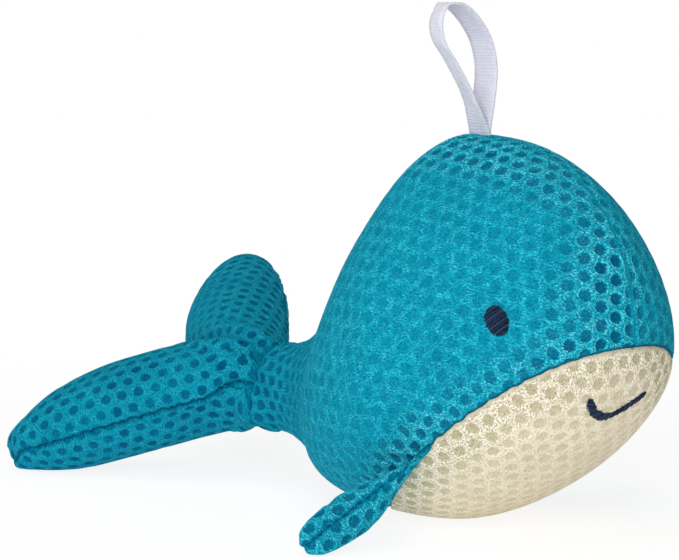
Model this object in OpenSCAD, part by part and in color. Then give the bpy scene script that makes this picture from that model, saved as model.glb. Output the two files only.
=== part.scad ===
// Stuffed whale bath toy in spacer mesh, with a hanging loop and a squeaker.
// Frame: +X is the way the whale looks, +Y is its left side, +Z is up.
// The origin is in the middle of the flat patch that the belly rests on.
// The torso's lengths are measured from its middle line, a little ahead of the origin.

/* [Torso] */
// Distance from the torso's middle line to the front of the face
face_reach = 55.2; // [52:0.2:58]
// Distance from the torso's middle line back to the hinge line of the flukes
tail_reach = 90; // [86:0.5:94]
// Height of the crown above the ground
torso_h = 106.2; // [100:0.2:112]
// Width of the torso at its widest
torso_w = 92.6; // [87:0.2:98]
// Height of the nose, where the three panels meet
nose_z = 52.5; // [50:0.5:55]
// Thickness of the spacer mesh
mesh_t = 2; // [1.7:0.1:2.3]
// Depth by which the belly is pressed flat where it rests
belly_flat = 0.5; // [0.4:0.1:0.7]

/* [Tail] */
// Diameter of the pinched crease where the flukes join the tail
crease_d = 18; // [16.5:0.5:19.5]
// Height of the middle of the crease
crease_z = 29; // [28:0.2:30]
// Distance from the crease back to the tips of the flukes
fluke_reach = 72; // [68:1:76]
// Distance from the middle of the tail to the tip of a fluke
fluke_half_span = 51; // [48:1:54]
// Height by which the tips of the flukes curl up
fluke_curl = 1; // [0.5:0.1:1.5]
// Distance from the crease back to the notch between the flukes
notch_reach = 32.5; // [30.5:0.5:34.5]
// Thickness of a fluke where it is fattest
fluke_t = 27.4; // [25.4:0.4:29]
// Angle by which the flukes are rolled, right side down
fluke_roll = 26; // [24:0.5:27.5]

/* [Flippers] */
// Distance from a flipper's root to its tip
flipper_l = 38.5; // [36:0.5:40.5]
// Chord of a flipper at its root
flipper_chord = 20; // [18:0.5:22]
// Thickness of a flipper where it is fattest
flipper_t = 12.2; // [11:0.2:13.2]
// Angle of the right flipper above the square to the belly seam
flipper_lift = 27; // [26.5:0.5:31]
// Angle of the left flipper, which is folded up against the side
folded_lift = 73; // [70:0.5:74]

/* [Hanging loop] */
// Height of the hanging loop above its hinge line
loop_h = 35.4; // [33:0.2:38]
// Width of the ribbon
ribbon_w = 7.8; // [7:0.2:9]
// Thickness of one layer of ribbon
ribbon_t = 0.7; // [0.6:0.1:0.8]

/* [Embroidery] */
// Width of an eye
eye_w = 6.4; // [5.6:0.2:7.2]
// Height of an eye
eye_h = 7.9; // [7.1:0.2:8.9]
// Width of the line that forms the smile
smile_line_w = 1.9; // [1.5:0.1:2.3]
// Height that the stitches stand above the mesh
stitch_h = 0.8; // [0.7:0.1:1]

/* [Squeaker] */
// Outer diameter of the squeaker
squeaker_d = 32; // [29:0.5:35]
// Height of the squeaker from its base to the top of its cap
squeaker_h = 21; // [20:0.5:23]
// Height of the middle of the squeaker above the ground
squeaker_z = 44; // [41:0.5:47]
// Travel of the cap when the toy is squeezed
squeak_travel = 5; // [4:0.5:5.5]
// Wall of the squeaker's base and cap
squeaker_wall = 1.6; // [1.4:0.1:1.8]
// Diameter of the reed plug
plug_d = 9; // [8:0.5:10]
// Thickness of the reed
reed_t = 0.4; // [0.3:0.05:0.5]

/* [Hidden] */

teal = [0.03, 0.49, 0.60];
cream = [0.87, 0.82, 0.66];
thread = [0.09, 0.20, 0.36];
fill_white = [0.93, 0.93, 0.90];
ribbon_white = [0.87, 0.87, 0.93];
plastic = [0.85, 0.87, 0.88];

// Clearances
seam_gap = 0.2;
fill_gap = 0.3;
flats_gap = 0.6;
thread_gap = 0.15;
fit_gap = 0.3;
bore_gap = 0.1;
hinge_gap = 0.2;
root_gap = 0.2;
crease_gap = 0.5;
loop_gap = 0.35;

$fn = 64;

// Grids: columns round a side panel and round the belly panel, rows behind and ahead of the belly's start
side_cols = 10;
belly_cols = 9;
back_rows = 10;
face_rows = 12;

// Crown, hanging loop and middle of the flat patch along X, from the middle line
crown_x = face_reach * -0.1205;
loop_x = face_reach * -0.054;
rest_x = face_reach * -0.254;
crease_r = crease_d / 2;
half_w = torso_w / 2;
egg_share = 0.287;
egg_full_share = 0.3;

// Outlines of the torso seen from the side, and its half width, as cubic curves of shares
stock_shares = [0.514, 0.396];
belly_shares = [0.539, 0.638];
shoulder_share = 0.942;
back_top = [
    [-tail_reach, crease_z + crease_r],
    [-tail_reach * stock_shares[0], torso_h * 0.39],
    [-tail_reach * stock_shares[1], torso_h * shoulder_share],
    [crown_x, torso_h]];
face_top = [
    [crown_x, torso_h],
    [face_reach * 0.499, torso_h],
    [face_reach, nose_z + (torso_h - nose_z) * 0.711],
    [face_reach, nose_z]];
back_under = [
    [-tail_reach, crease_z - crease_r],
    [-tail_reach * belly_shares[0], torso_h * 0.051],
    [-tail_reach * belly_shares[1], -belly_flat],
    [crown_x, -belly_flat]];
face_under = [
    [crown_x, -belly_flat],
    [face_reach * 0.127, -belly_flat],
    [face_reach, nose_z * 0.489],
    [face_reach, nose_z]];
back_half = [crease_r, crease_r * 1.344, half_w * 0.791, half_w];
face_half = [half_w, half_w * 0.922, half_w * 0.73, 0];

// Where the belly panel begins along the torso's run, and the angle of its seam measured from the crown
belly_start_share = 0.357;
belly_first_share = 0.37;
run_end_share = 0.998;
seam_angles = [180, 131.1, 110.6, 98.7];

function cubic(p, s) =
    p[0] * pow(1 - s, 3) + 3 * p[1] * pow(1 - s, 2) * s + 3 * p[2] * (1 - s) * s * s + p[3] * pow(s, 3);
function unit(v) = v / norm(v);

// A run of 0 is the crease, 0.5 the crown and 1 the nose
function top_at(run) = run < 0.5 ? cubic(back_top, 2 * run) : cubic(face_top, 2 * run - 1);
function under_at(run) = run < 0.5 ? cubic(back_under, 2 * run) : cubic(face_under, 2 * run - 1);
function half_at(run) = run < 0.5 ? cubic(back_half, 2 * run) : cubic(face_half, 2 * run - 1);
function egg_at(run) = egg_share * min(1, pow(run / egg_full_share, 2));

function torso_point(run, a) =
    let (top = top_at(run),
         under = under_at(run),
         mid = (top + under) / 2,
         up = (top - under) / 2)
    [mid[0] + up[0] * cos(a), -half_at(run) * sin(a) * (1 - egg_at(run) * cos(a)), mid[1] + up[1] * cos(a)];

run_probe = 0.002;
function torso_normal(run, a) =
    let (along = torso_point(min(run + run_probe, 1), a) - torso_point(max(run - run_probe, 0), a),
         round_it = torso_point(run, a + 1) - torso_point(run, a - 1))
    unit(cross(round_it, along));
function torso_skin(run, a, depth) =
    torso_point(run, a) - torso_normal(run, a) * depth;

function seam_angle(run) =
    run <= belly_start_share ? 180 : cubic(seam_angles, (run - belly_start_share) / (1 - belly_start_share));

// Angle that half the seam gap takes up at a place on the skin
function gap_angle(run, a) = seam_gap / 2 / norm(torso_point(run, a + 1) - torso_point(run, a));

function side_angles(run) =
    let (from = gap_angle(run, 0),
         to = seam_angle(run) - gap_angle(run, seam_angle(run)))
    [for (j = [0 : side_cols]) from + (to - from) * j / side_cols];
function belly_angles(run) =
    let (from = seam_angle(run) + gap_angle(run, seam_angle(run)))
    [for (j = [0 : belly_cols]) from + (360 - 2 * from) * j / belly_cols];

tail_runs = [for (i = [0 : back_rows]) belly_start_share * i / back_rows];
belly_runs = [for (i = [0 : face_rows])
    belly_first_share + (run_end_share - belly_first_share) * sin(90 * i / face_rows)];
torso_runs = concat(tail_runs, belly_runs);

function side_sheet(depth) = [for (r = torso_runs) [for (a = side_angles(r)) torso_skin(r, a, depth)]];
function belly_sheet(depth) = [for (r = belly_runs) [for (a = belly_angles(r)) torso_skin(r, a, depth)]];

// Faces of a closed shell between an outer and an inner sheet of points.
// Points of a row that are all at one place count as one corner.
function row_is_point(row) = norm(row[0] - row[len(row) - 1]) < seam_gap / 1000;
function shell_faces(outer, inner) =
    let (rows = len(outer),
         cols = len(outer[0]),
         n = rows * cols,
         corner = [for (i = [0 : rows - 1]) [for (j = [0 : cols - 1])
             i * cols + (row_is_point(outer[i]) ? 0 : j)]],
         cells = [for (i = [0 : rows - 2]) for (j = [0 : cols - 2]) [i, j]],
         last = cols - 1,
         quads = concat(
             [for (c = cells)
                 [corner[c[0]][c[1]], corner[c[0]][c[1] + 1],
                  corner[c[0] + 1][c[1] + 1], corner[c[0] + 1][c[1]]]],
             [for (c = cells)
                 [n + corner[c[0]][c[1]], n + corner[c[0] + 1][c[1]],
                  n + corner[c[0] + 1][c[1] + 1], n + corner[c[0]][c[1] + 1]]],
             [for (i = [0 : rows - 2])
                 [corner[i][0], corner[i + 1][0], n + corner[i + 1][0], n + corner[i][0]]],
             [for (i = [0 : rows - 2])
                 [corner[i + 1][last], corner[i][last], n + corner[i][last], n + corner[i + 1][last]]],
             [for (j = [0 : cols - 2])
                 [corner[0][j + 1], corner[0][j], n + corner[0][j], n + corner[0][j + 1]]],
             [for (j = [0 : cols - 2])
                 [corner[rows - 1][j], corner[rows - 1][j + 1],
                  n + corner[rows - 1][j + 1], n + corner[rows - 1][j]]]),
         halves = [for (q = quads) each [[q[0], q[1], q[2]], [q[0], q[2], q[3]]]])
    [for (f = halves) if (f[0] != f[1] && f[1] != f[2] && f[2] != f[0]) f];

module shell(outer, inner, flip = false) {
    faces = shell_faces(outer, inner);
    polyhedron(points = [for (row = outer) each row, for (row = inner) each row],
        faces = [for (f = faces) flip ? [f[0], f[2], f[1]] : f], convexity = 8);
}

// A closed solid through a row of rings
module through_rings(rings, flip = false) {
    n = len(rings[0]);
    m = len(rings);
    sides = [for (i = [0 : m - 2]) for (j = [0 : n - 1])
        let (k = (j + 1) % n)
        each [[i * n + j, i * n + k, i * n + n + k], [i * n + j, i * n + n + k, i * n + n + j]]];
    first_cap = [for (j = [1 : n - 2]) [0, j + 1, j]];
    last_cap = [for (j = [1 : n - 2]) [(m - 1) * n, (m - 1) * n + j, (m - 1) * n + j + 1]];
    faces = concat(sides, first_cap, last_cap);
    polyhedron(points = [for (ring = rings) each ring],
        faces = [for (f = faces) flip ? [f[0], f[2], f[1]] : f], convexity = 8);
}

module seated() {
    translate([-rest_x, 0, 0]) children();
}

// Torso
module right_side_panel() {
    color(teal) seated() shell(side_sheet(0), side_sheet(mesh_t), flip = true);
}
module left_side_panel() {
    color(teal) seated() mirror([0, 1, 0]) shell(side_sheet(0), side_sheet(mesh_t), flip = true);
}
module belly_panel() {
    color(cream) seated() difference() {
        shell(belly_sheet(0), belly_sheet(mesh_t), flip = true);
        translate([-tail_reach, -torso_w, -torso_h]) cube([2 * tail_reach, 2 * torso_w, torso_h]);
    }
}

fill_cols = 26;
pocket_d = squeaker_d + 2 * fit_gap;
pocket_h = squeaker_h + 2 * fit_gap;
module torso_stuffing() {
    depth = mesh_t + fill_gap + flats_gap;
    color(fill_white) seated() difference() {
        through_rings([for (r = torso_runs)
            [for (j = [0 : fill_cols - 1]) torso_skin(r, 360 * j / fill_cols, depth)]], flip = true);
        translate([0, 0, squeaker_z - pocket_h / 2]) cylinder(d = pocket_d, h = pocket_h);
    }
}

// Embroidery
eye_run_share = 0.764;
eye_angle = 81.63;
eye_rings = 3;
eye_spokes = 18;
eye_dome_share = 0.35;
module eye_patch() {
    at = torso_point(eye_run_share, eye_angle);
    out = torso_normal(eye_run_share, eye_angle);
    along = unit(cross([0, 0, 1], out));
    up = cross(out, along);
    curve_r = half_w;
    outer = [for (i = [0 : eye_rings]) [for (j = [0 : eye_spokes])
        let (share = sin(90 * i / eye_rings),
             x = cos(360 * j / eye_spokes) * eye_w / 2 * share,
             y = sin(360 * j / eye_spokes) * eye_h / 2 * share,
             sag = (x * x + y * y) / (2 * curve_r),
             rise = stitch_h * (eye_dome_share + (1 - eye_dome_share) * sqrt(1 - share * share)))
        at + along * x + up * y + out * (thread_gap - sag + rise)]];
    base = [for (j = [0 : eye_spokes - 1]) at + along * cos(360 * j / eye_spokes) * eye_w / 2
        + up * sin(360 * j / eye_spokes) * eye_h / 2
        + out * (thread_gap - pow(norm([cos(360 * j / eye_spokes) * eye_w, sin(360 * j / eye_spokes) * eye_h]) / 2, 2)
            / (2 * curve_r))];
    rings = [base, for (i = [eye_rings : -1 : 1]) [for (j = [0 : eye_spokes - 1]) outer[i][j]]];
    color(thread) seated() through_rings(rings, flip = true);
}
module right_eye() {
    eye_patch();
}
module left_eye() {
    mirror([0, 1, 0]) eye_patch();
}

smile_run_shares = [0.8982, 0.884, 0.875, 0.8815, 0.8928, 0.905];
smile_angles = [149.3, 158, 170, 181, 192.5, 203.5];
smile_steps = 16;
smile_cols = 4;
function spline(list, s) =
    let (n = len(list) - 1,
         i = max(min(floor(s * n), n - 1), 0),
         f = s * n - i,
         a = list[max(i - 1, 0)],
         b = list[i],
         c = list[i + 1],
         d = list[min(i + 2, n)])
    b + (c - a) / 2 * f + (a - 2.5 * b + 2 * c - d / 2) * f * f + (1.5 * b - a / 2 - 1.5 * c + d / 2) * f * f * f;
function smile_at(s) = torso_point(spline(smile_run_shares, s), spline(smile_angles, s));
module smile() {
    base_rise = thread_gap;
    color(thread) seated() through_rings([for (i = [0 : smile_steps])
        let (s = i / smile_steps,
             at = smile_at(s),
             out = torso_normal(spline(smile_run_shares, s), spline(smile_angles, s)),
             ahead = unit(smile_at(s + 1 / smile_steps / 8) - smile_at(s - 1 / smile_steps / 8)),
             across = unit(cross(out, ahead)),
             w = smile_line_w * (1 - 0.35 * s) * (i == 0 || i == smile_steps ? 0.45 : 1) / 2)
        [for (k = [0 : smile_cols]) at - across * w * cos(180 * k / smile_cols)
            + out * (base_rise + stitch_h * (0.2 + 0.8 * sin(180 * k / smile_cols)) * (w / smile_line_w * 2)),
         at + across * w + out * base_rise, at - across * w + out * base_rise]]);
}

// Squeaker: a cup, a bellows and a cap that slides down into the cup
squeaker_r = squeaker_d / 2;
base_h = squeaker_h * 0.5;
cap_h = squeaker_h * 0.55;
cap_r = squeaker_r - squeaker_wall - fit_gap;
base_floor_z = squeaker_z - squeaker_h / 2;
cap_top_z = squeaker_z + squeaker_h / 2;
plug_flange_d = plug_d + 2 * squeaker_wall;
plug_bore = plug_d * 0.45;
module squeaker_base() {
    color(plastic) seated() translate([0, 0, base_floor_z]) difference() {
        cylinder(r = squeaker_r, h = base_h);
        translate([0, 0, squeaker_wall]) cylinder(r = squeaker_r - squeaker_wall, h = base_h);
        translate([0, 0, -squeaker_wall]) cylinder(d = plug_d + 2 * bore_gap, h = 3 * squeaker_wall);
    }
}
module squeaker_plug() {
    color(teal) seated() translate([0, 0, base_floor_z]) difference() {
        union() {
            cylinder(d = plug_d, h = 2 * squeaker_wall);
            translate([0, 0, squeaker_wall + bore_gap]) cylinder(d = plug_flange_d, h = squeaker_wall);
        }
        translate([0, 0, -squeaker_wall]) cylinder(d = plug_bore, h = 5 * squeaker_wall);
        translate([0, 0, squeaker_wall]) cylinder(d = plug_bore + squeaker_wall, h = reed_t + 2 * bore_gap);
    }
}
module squeaker_reed() {
    color(ribbon_white) seated() translate([0, 0, base_floor_z + squeaker_wall + bore_gap])
        cylinder(d = plug_bore + squeaker_wall - 2 * bore_gap, h = reed_t);
}
module squeaker_cap() {
    color(plastic) seated() translate([0, 0, cap_top_z - cap_h]) difference() {
        cylinder(r = cap_r, h = cap_h);
        translate([0, 0, -squeaker_wall]) cylinder(r = cap_r - squeaker_wall, h = cap_h);
    }
}
bellows_folds = 3;
bellows_wall = squeaker_wall / 2;
bellows_r = plug_flange_d / 2 + squeaker_wall;
bellows_deep = (cap_r - squeaker_wall - fit_gap - bellows_wall - bellows_r);
module squeaker_bellows() {
    low = base_floor_z + squeaker_wall + bore_gap;
    high = cap_top_z - squeaker_wall - bore_gap;
    steps = 2 * bellows_folds;
    inner = [for (i = [0 : steps]) [bellows_r + (i % 2 == 1 ? bellows_deep : 0), low + (high - low) * i / steps]];
    outer = [for (i = [steps : -1 : 0])
        [bellows_r + bellows_wall + (i % 2 == 1 ? bellows_deep : 0), low + (high - low) * i / steps]];
    color(ribbon_white) seated() rotate_extrude() polygon(concat(inner, outer));
}

// Flippers: a local frame with the chord along the belly seam, and the span outward from it
flipper_front_share = 0.663;
flipper_back_share = 0.563;
flipper_from = torso_point(flipper_front_share, seam_angle(flipper_front_share));
flipper_to = torso_point(flipper_back_share, seam_angle(flipper_back_share));
flipper_mid_share = (flipper_front_share + flipper_back_share) / 2;
chord_dir = unit(flipper_to - flipper_from);
seam_out = torso_normal(flipper_mid_share, seam_angle(flipper_mid_share));
out_dir = unit(seam_out - chord_dir * (seam_out * chord_dir));
over_dir = cross(chord_dir, out_dir);
flipper_rows = 9;
flipper_cols = 8;
flipper_root_share = 0.05;

// The seam bows outward between the ends of the root, and the hinge line stands clear of it
seam_bow = norm(torso_point(flipper_mid_share, seam_angle(flipper_mid_share)) - (flipper_from + flipper_to) / 2);
flipper_hinge = flipper_from + out_dir * (seam_bow + hinge_gap);
flipper_lead_shares = [[0, 0], [0.28, 0.2], [0.48, 0.98], [0.83, 1]];
flipper_trail_shares = [[1, 0], [1.06, 0.293], [0.88, 0.715], [0.83, 1]];

// Share of a thin form's half thickness that stays inside a panel, and inside the filling
function thin_share(inset) = inset > mesh_t ? 0.1 : 0.25;

function flipper_rib(t, inset, flip, lift) =
    let (span_dir = out_dir * cos(lift) + over_dir * sin(lift),
         face_dir = over_dir * cos(lift) - out_dir * sin(lift),
         lead = cubic(flipper_lead_shares, t),
         trail = cubic(flipper_trail_shares, t),
         from = lead[0] * flipper_chord,
         to = trail[0] * flipper_chord,
         span = (lead[1] + trail[1]) / 2 * flipper_l,
         tilt = (trail[1] - lead[1]) / 2 * flipper_l,
         width = max(to - from - 2 * inset, 0),
         swell = pow(sin(min(90, t * 165)), 1.6),
         fat = (flipper_root_share + (1 - flipper_root_share) * swell) * sqrt(1 - pow(t, 5)),
         full = flipper_t / 2 * fat,
         half = inset > 0 ? max(full - inset, full * thin_share(inset)) : full)
    [for (j = [0 : flipper_cols])
        let (s = j / flipper_cols,
             across = -cos(180 * s),
             c = (from + to) / 2 + across * width / 2,
             z = seam_gap / 2 + half * sin(180 * s))
        flipper_hinge + chord_dir * c + span_dir * (root_gap + span + tilt * across)
            + face_dir * (flip ? -z : z)];
flipper_stations = [for (i = [0 : flipper_rows]) sin(90 * i / flipper_rows)];
function flipper_sheet(inset, flip, lift) =
    let (reach = inset > 0 ? 1 - inset / flipper_l * 1.2 : 1)
    [for (t = flipper_stations) flipper_rib(t * reach, inset, flip, lift)];

module flipper_panel(flip, lift) {
    color(teal) seated() shell(flipper_sheet(0, flip, lift), flipper_sheet(mesh_t, flip, lift), flip = !flip);
}
module flipper_fill(lift) {
    inset = mesh_t + fill_gap + flats_gap;
    stations = [for (i = [0 : flipper_rows]) 0.10 + 0.80 * sin(90 * i / flipper_rows)];
    color(fill_white) seated() through_rings([for (t = stations)
        let (up = flipper_rib(t, inset, false, lift),
             down = flipper_rib(t, inset, true, lift))
        concat(up, [for (j = [flipper_cols : -1 : 0]) down[j]])], flip = true);
}
module right_flipper_upper_panel() {
    flipper_panel(false, flipper_lift);
}
module right_flipper_lower_panel() {
    flipper_panel(true, flipper_lift);
}
module right_flipper_stuffing() {
    flipper_fill(flipper_lift);
}
module left_flipper_upper_panel() {
    mirror([0, 1, 0]) flipper_panel(false, folded_lift);
}
module left_flipper_lower_panel() {
    mirror([0, 1, 0]) flipper_panel(true, folded_lift);
}
module left_flipper_stuffing() {
    mirror([0, 1, 0]) flipper_fill(folded_lift);
}

// Flukes: ribs from the leading edge over to the trailing edge, from one tip across to the other
fluke_half_rows = 10;
fluke_cols = 9;
middle_share = 0.3;
fluke_wedge_share = 0.27;
fluke_waist_share = 0.6;
fluke_bulge_share = 0.127;
fluke_lead = [
    [0, crease_r], [fluke_reach * 0.323, fluke_half_span * 0.424],
    [fluke_reach * 0.721, fluke_half_span * 1.347], [fluke_reach, fluke_half_span]];
fluke_trail = [
    [notch_reach, 0], [notch_reach * 1.36, fluke_half_span * 0.012],
    [fluke_reach * 1.04, fluke_half_span * 0.444], [fluke_reach, fluke_half_span]];

function fluke_rib(t, inset, flip) =
    let (m = abs(t),
         side = t < 0 ? -1 : 1,
         in_middle = m < middle_share,
         q = in_middle ? 0 : (m - middle_share) / (1 - middle_share),
         turn = 90 * min(1, m / middle_share),
         lead = in_middle ? [crease_r * cos(turn) * fluke_wedge_share, crease_r * sin(turn)] : cubic(fluke_lead, q),
         trail = cubic(fluke_trail, m),
         gap_dir = unit(trail - lead + [seam_gap / 1000, 0]),
         room = norm(trail - lead),
         cut = min(inset, room * 0.45),
         from = in_middle ? [lead[0], lead[1] * (crease_r - inset) / crease_r] : lead + gap_dir * cut * q,
         to = trail - gap_dir * cut,
         from_z = in_middle ? (crease_r - inset) * cos(turn) : 0,
         fat = (in_middle ? fluke_waist_share + (1 - fluke_waist_share) * sin(turn) : 1)
            * sqrt(1 - pow(m, 3)) * (1 + fluke_bulge_share * sin(180 * m)),
         full = fluke_t / 2 * fat,
         half = inset > 0 ? max(full - inset, full * thin_share(inset)) : full)
    [for (j = [0 : fluke_cols])
        let (s = j / fluke_cols,
             w = (1 - cos(180 * s)) / 2,
             p = from + (to - from) * w,
             z = seam_gap / 2 + from_z * (1 - w) + half * sin(180 * s),
             curl = fluke_curl * pow(p[1] / fluke_half_span, 2))
        [-p[0] - crease_gap, side * p[1], curl + (flip ? -z : z)]];
fluke_stations = [for (i = [-fluke_half_rows : fluke_half_rows])
    let (u = abs(i) / fluke_half_rows)
    (i < 0 ? -1 : 1) * sin(90 * u)];
function fluke_sheet(inset, flip) =
    let (reach = 1 - inset / fluke_reach * 1.5)
    [for (t = fluke_stations) fluke_rib(t * reach, inset, flip)];
module place_fluke() {
    translate([-tail_reach, 0, crease_z]) rotate([fluke_roll, 0, 0]) children();
}
module fluke_top_panel() {
    color(teal) seated() place_fluke() shell(fluke_sheet(0, false), fluke_sheet(mesh_t, false));
}
module fluke_bottom_panel() {
    color(teal) seated() place_fluke() shell(fluke_sheet(0, true), fluke_sheet(mesh_t, true), flip = true);
}
module fluke_stuffing() {
    inset = mesh_t + fill_gap + flats_gap;
    stations = [for (i = [-fluke_half_rows : fluke_half_rows])
        (i < 0 ? -1 : 1) * 0.92 * sin(90 * abs(i) / fluke_half_rows)];
    color(fill_white) seated() place_fluke() through_rings([for (t = stations)
        let (up = fluke_rib(t, inset, false),
             down = fluke_rib(t, inset, true))
        concat(up, [for (j = [fluke_cols : -1 : 0]) down[j]])]);
}

// Hanging loop: a band of ribbon whose middle line is drawn in shares of the loop's height
loop_path_shares = [
    [0, 0], [-0.12, 0.31], [-0.27, 0.55], [-0.39, 0.71], [-0.405, 0.86], [-0.34, 0.96], [-0.25, 0.98],
    [-0.17, 0.93], [-0.07, 0.82], [0.01, 0.69], [0.06, 0.52], [0.055, 0.34], [0, 0]];
loop_steps = 36;
loop_z = torso_h + loop_gap + ribbon_t;
loop_root_r = ribbon_t;
module hanging_loop() {
    mid = [for (i = [0 : loop_steps]) loop_h * spline(loop_path_shares, i / loop_steps)];
    side = [for (i = [0 : loop_steps])
        let (d = unit(mid[min(i + 1, loop_steps)] - mid[max(i - 1, 0)]))
        [-d[1], d[0]]];
    outer = [for (i = [0 : loop_steps]) mid[i] + side[i] * ribbon_t / 2];
    inner = [for (i = [2 : loop_steps - 2]) mid[i] - side[i] * ribbon_t / 2];
    color(ribbon_white) seated() translate([loop_x - ribbon_w / 2, 0, loop_z]) rotate([90, 0, 90]) union() {
        linear_extrude(height = ribbon_w) difference() {
            polygon(outer);
            polygon(inner);
        }
        cylinder(r = loop_root_r, h = ribbon_w);
    }
}

right_side_panel();
left_side_panel();
belly_panel();
torso_stuffing();
right_eye();
left_eye();
smile();
squeaker_base();
squeaker_plug();
squeaker_reed();
squeaker_bellows();
squeaker_cap();
right_flipper_upper_panel();
right_flipper_lower_panel();
right_flipper_stuffing();
left_flipper_upper_panel();
left_flipper_lower_panel();
left_flipper_stuffing();
fluke_top_panel();
fluke_bottom_panel();
fluke_stuffing();
hanging_loop();
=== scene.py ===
from math import cos, pi, radians, sin, sqrt

import bmesh
import bpy
import numpy as np
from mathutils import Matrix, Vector


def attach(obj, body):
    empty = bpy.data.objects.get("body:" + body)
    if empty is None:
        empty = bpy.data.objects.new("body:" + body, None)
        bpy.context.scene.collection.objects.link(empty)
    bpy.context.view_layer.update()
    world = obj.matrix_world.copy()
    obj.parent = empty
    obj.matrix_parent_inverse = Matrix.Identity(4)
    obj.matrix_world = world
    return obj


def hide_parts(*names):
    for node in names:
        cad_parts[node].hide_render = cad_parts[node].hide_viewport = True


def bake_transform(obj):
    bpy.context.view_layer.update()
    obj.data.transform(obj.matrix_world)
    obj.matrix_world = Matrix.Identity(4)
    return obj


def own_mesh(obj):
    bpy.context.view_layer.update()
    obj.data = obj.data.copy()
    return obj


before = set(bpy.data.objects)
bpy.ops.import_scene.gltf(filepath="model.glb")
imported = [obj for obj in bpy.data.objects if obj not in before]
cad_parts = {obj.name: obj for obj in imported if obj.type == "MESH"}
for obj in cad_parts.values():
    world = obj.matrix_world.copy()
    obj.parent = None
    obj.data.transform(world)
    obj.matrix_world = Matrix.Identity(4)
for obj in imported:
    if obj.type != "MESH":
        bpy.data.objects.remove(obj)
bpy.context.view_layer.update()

scene = bpy.context.scene
mm = 0.001
flipY = np.array((1, -1, 1))

torso = {
    "faceReach": 55.2 * mm, "tailReach": 90 * mm, "height": 106.2 * mm, "width": 92.6 * mm,
    "noseZ": 52.5 * mm, "pressedFlat": 0.5 * mm, "creaseZ": 29 * mm, "creaseRadius": 9 * mm,
    "middleX": 14.0208 * mm,
    "meshThickness": 2 * mm, "bellyStart": 0.357, "seamAngles": (180, 131.1, 110.6, 98.7), "seamWobble": 0.32,
    "cornerReach": 0.075, "cornerWidth": 0.11, "underFullness": 3.9 * mm, "creaseFullness": 1.1 * mm,
}
creaseX = torso["middleX"] - torso["tailReach"]
airMesh = {  # the perforated cloth
    "pitch": 5.2 * mm, "holeRadius": 1.62 * mm, "tailHoleRadius": 1.47 * mm, "softEdge": 0.48 * mm,
    "depth": 0.85 * mm,
}
colours = {
    # each cloth's hole colour is painted shade inside the holes, and its light colour is a painted highlight
    # on the yarn; the navy's light colour is a painted highlight on the threads
    "teal": "008da8", "tealLight": "2ed5e5", "tealHole": "00456c", "tealDeep": "006a86",
    "cream": "e6dbc1", "creamLight": "f6f2e2", "creamHole": "b2ab89", "creamDeep": "bbb094",
    "navy": "050c1a", "navyLight": "48648c", "ribbon": "d9d9e4", "ribbonShade": "c0c1d0",
    "fibre": "f2f1ec", "fibreShade": "d9d8d0", "plastic": "dfe3e6", "plasticShade": "c6ccd1",
    "plug": "2a8fa6", "plugShade": "1d7489", "bellows": "e9ebee", "bellowsShade": "cdd3da",
    "reed": "b9c4cc", "reedShade": "9aa7b2",
}


def linear(hexColour):
    parts = [int(hexColour[i:i + 2], 16) / 255 for i in (0, 2, 4)]
    return tuple(c / 12.92 if c <= 0.04045 else ((c + 0.055) / 1.055) ** 2.4 for c in parts) + (1.0,)


# Curves and grids
def cubic(points, s):
    p, s = np.array(points, float), np.asarray(s, float)
    if p.ndim > 1:
        s = s[..., None]
    return p[0] * (1 - s) ** 3 + 3 * p[1] * (1 - s) ** 2 * s + 3 * p[2] * (1 - s) * s ** 2 + p[3] * s ** 3


def spline(values, s):
    # a smooth curve through the values, s from 0 to 1
    values = np.asarray(values, float)
    n = len(values) - 1
    x = np.clip(np.asarray(s, float), -0.05, 1.05) * n
    i = np.clip(np.floor(x).astype(int), 0, n - 1)
    f = x - i
    if values.ndim > 1:
        f = f[..., None]
    a, b, c, d = values[np.maximum(i - 1, 0)], values[i], values[i + 1], values[np.minimum(i + 2, n)]
    bend, twist = a - 2.5 * b + 2 * c - d / 2, 1.5 * b - a / 2 - 1.5 * c + d / 2
    return b + (c - a) / 2 * f + bend * f ** 2 + twist * f ** 3


def unit(v):
    return v / np.maximum(np.linalg.norm(v, axis=-1, keepdims=True), 1e-12)


def smooth(x, low, high):
    t = np.clip((np.asarray(x, float) - low) / (high - low), 0, 1)
    return t * t * (3 - 2 * t)


def bell(x, width):
    # 1 at 0, falling off to both sides
    return np.exp(-(x / width) ** 2)


def valley(distance, depth, width):
    return depth * bell(distance, width)


def fading(x, reach):
    # 1 at 0, falling off with distance
    return np.exp(-x / reach)


def torsoPoint(run, angle):
    # run: 0 crease, 0.5 crown, 1 nose; angle: 0 crown line, 180 keel, in degrees
    # the two cubics meet at 0.5, and the cloth rounds that corner off, least at the crown
    run, angle = np.asarray(run, float), np.asarray(angle, float)
    offCrown = 0.12 + 0.88 * smooth(np.minimum(angle, 360 - angle), 12, 58)
    window = torso["cornerReach"] * bell(run - 0.5, torso["cornerWidth"]) * offCrown
    shares = ((-0.9, 0.1), (-0.6, 0.2), (-0.25, 0.2), (0.25, 0.2), (0.6, 0.2), (0.9, 0.1))
    return sum(drawnPoint(run + window * step, angle) * weight for step, weight in shares)


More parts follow.
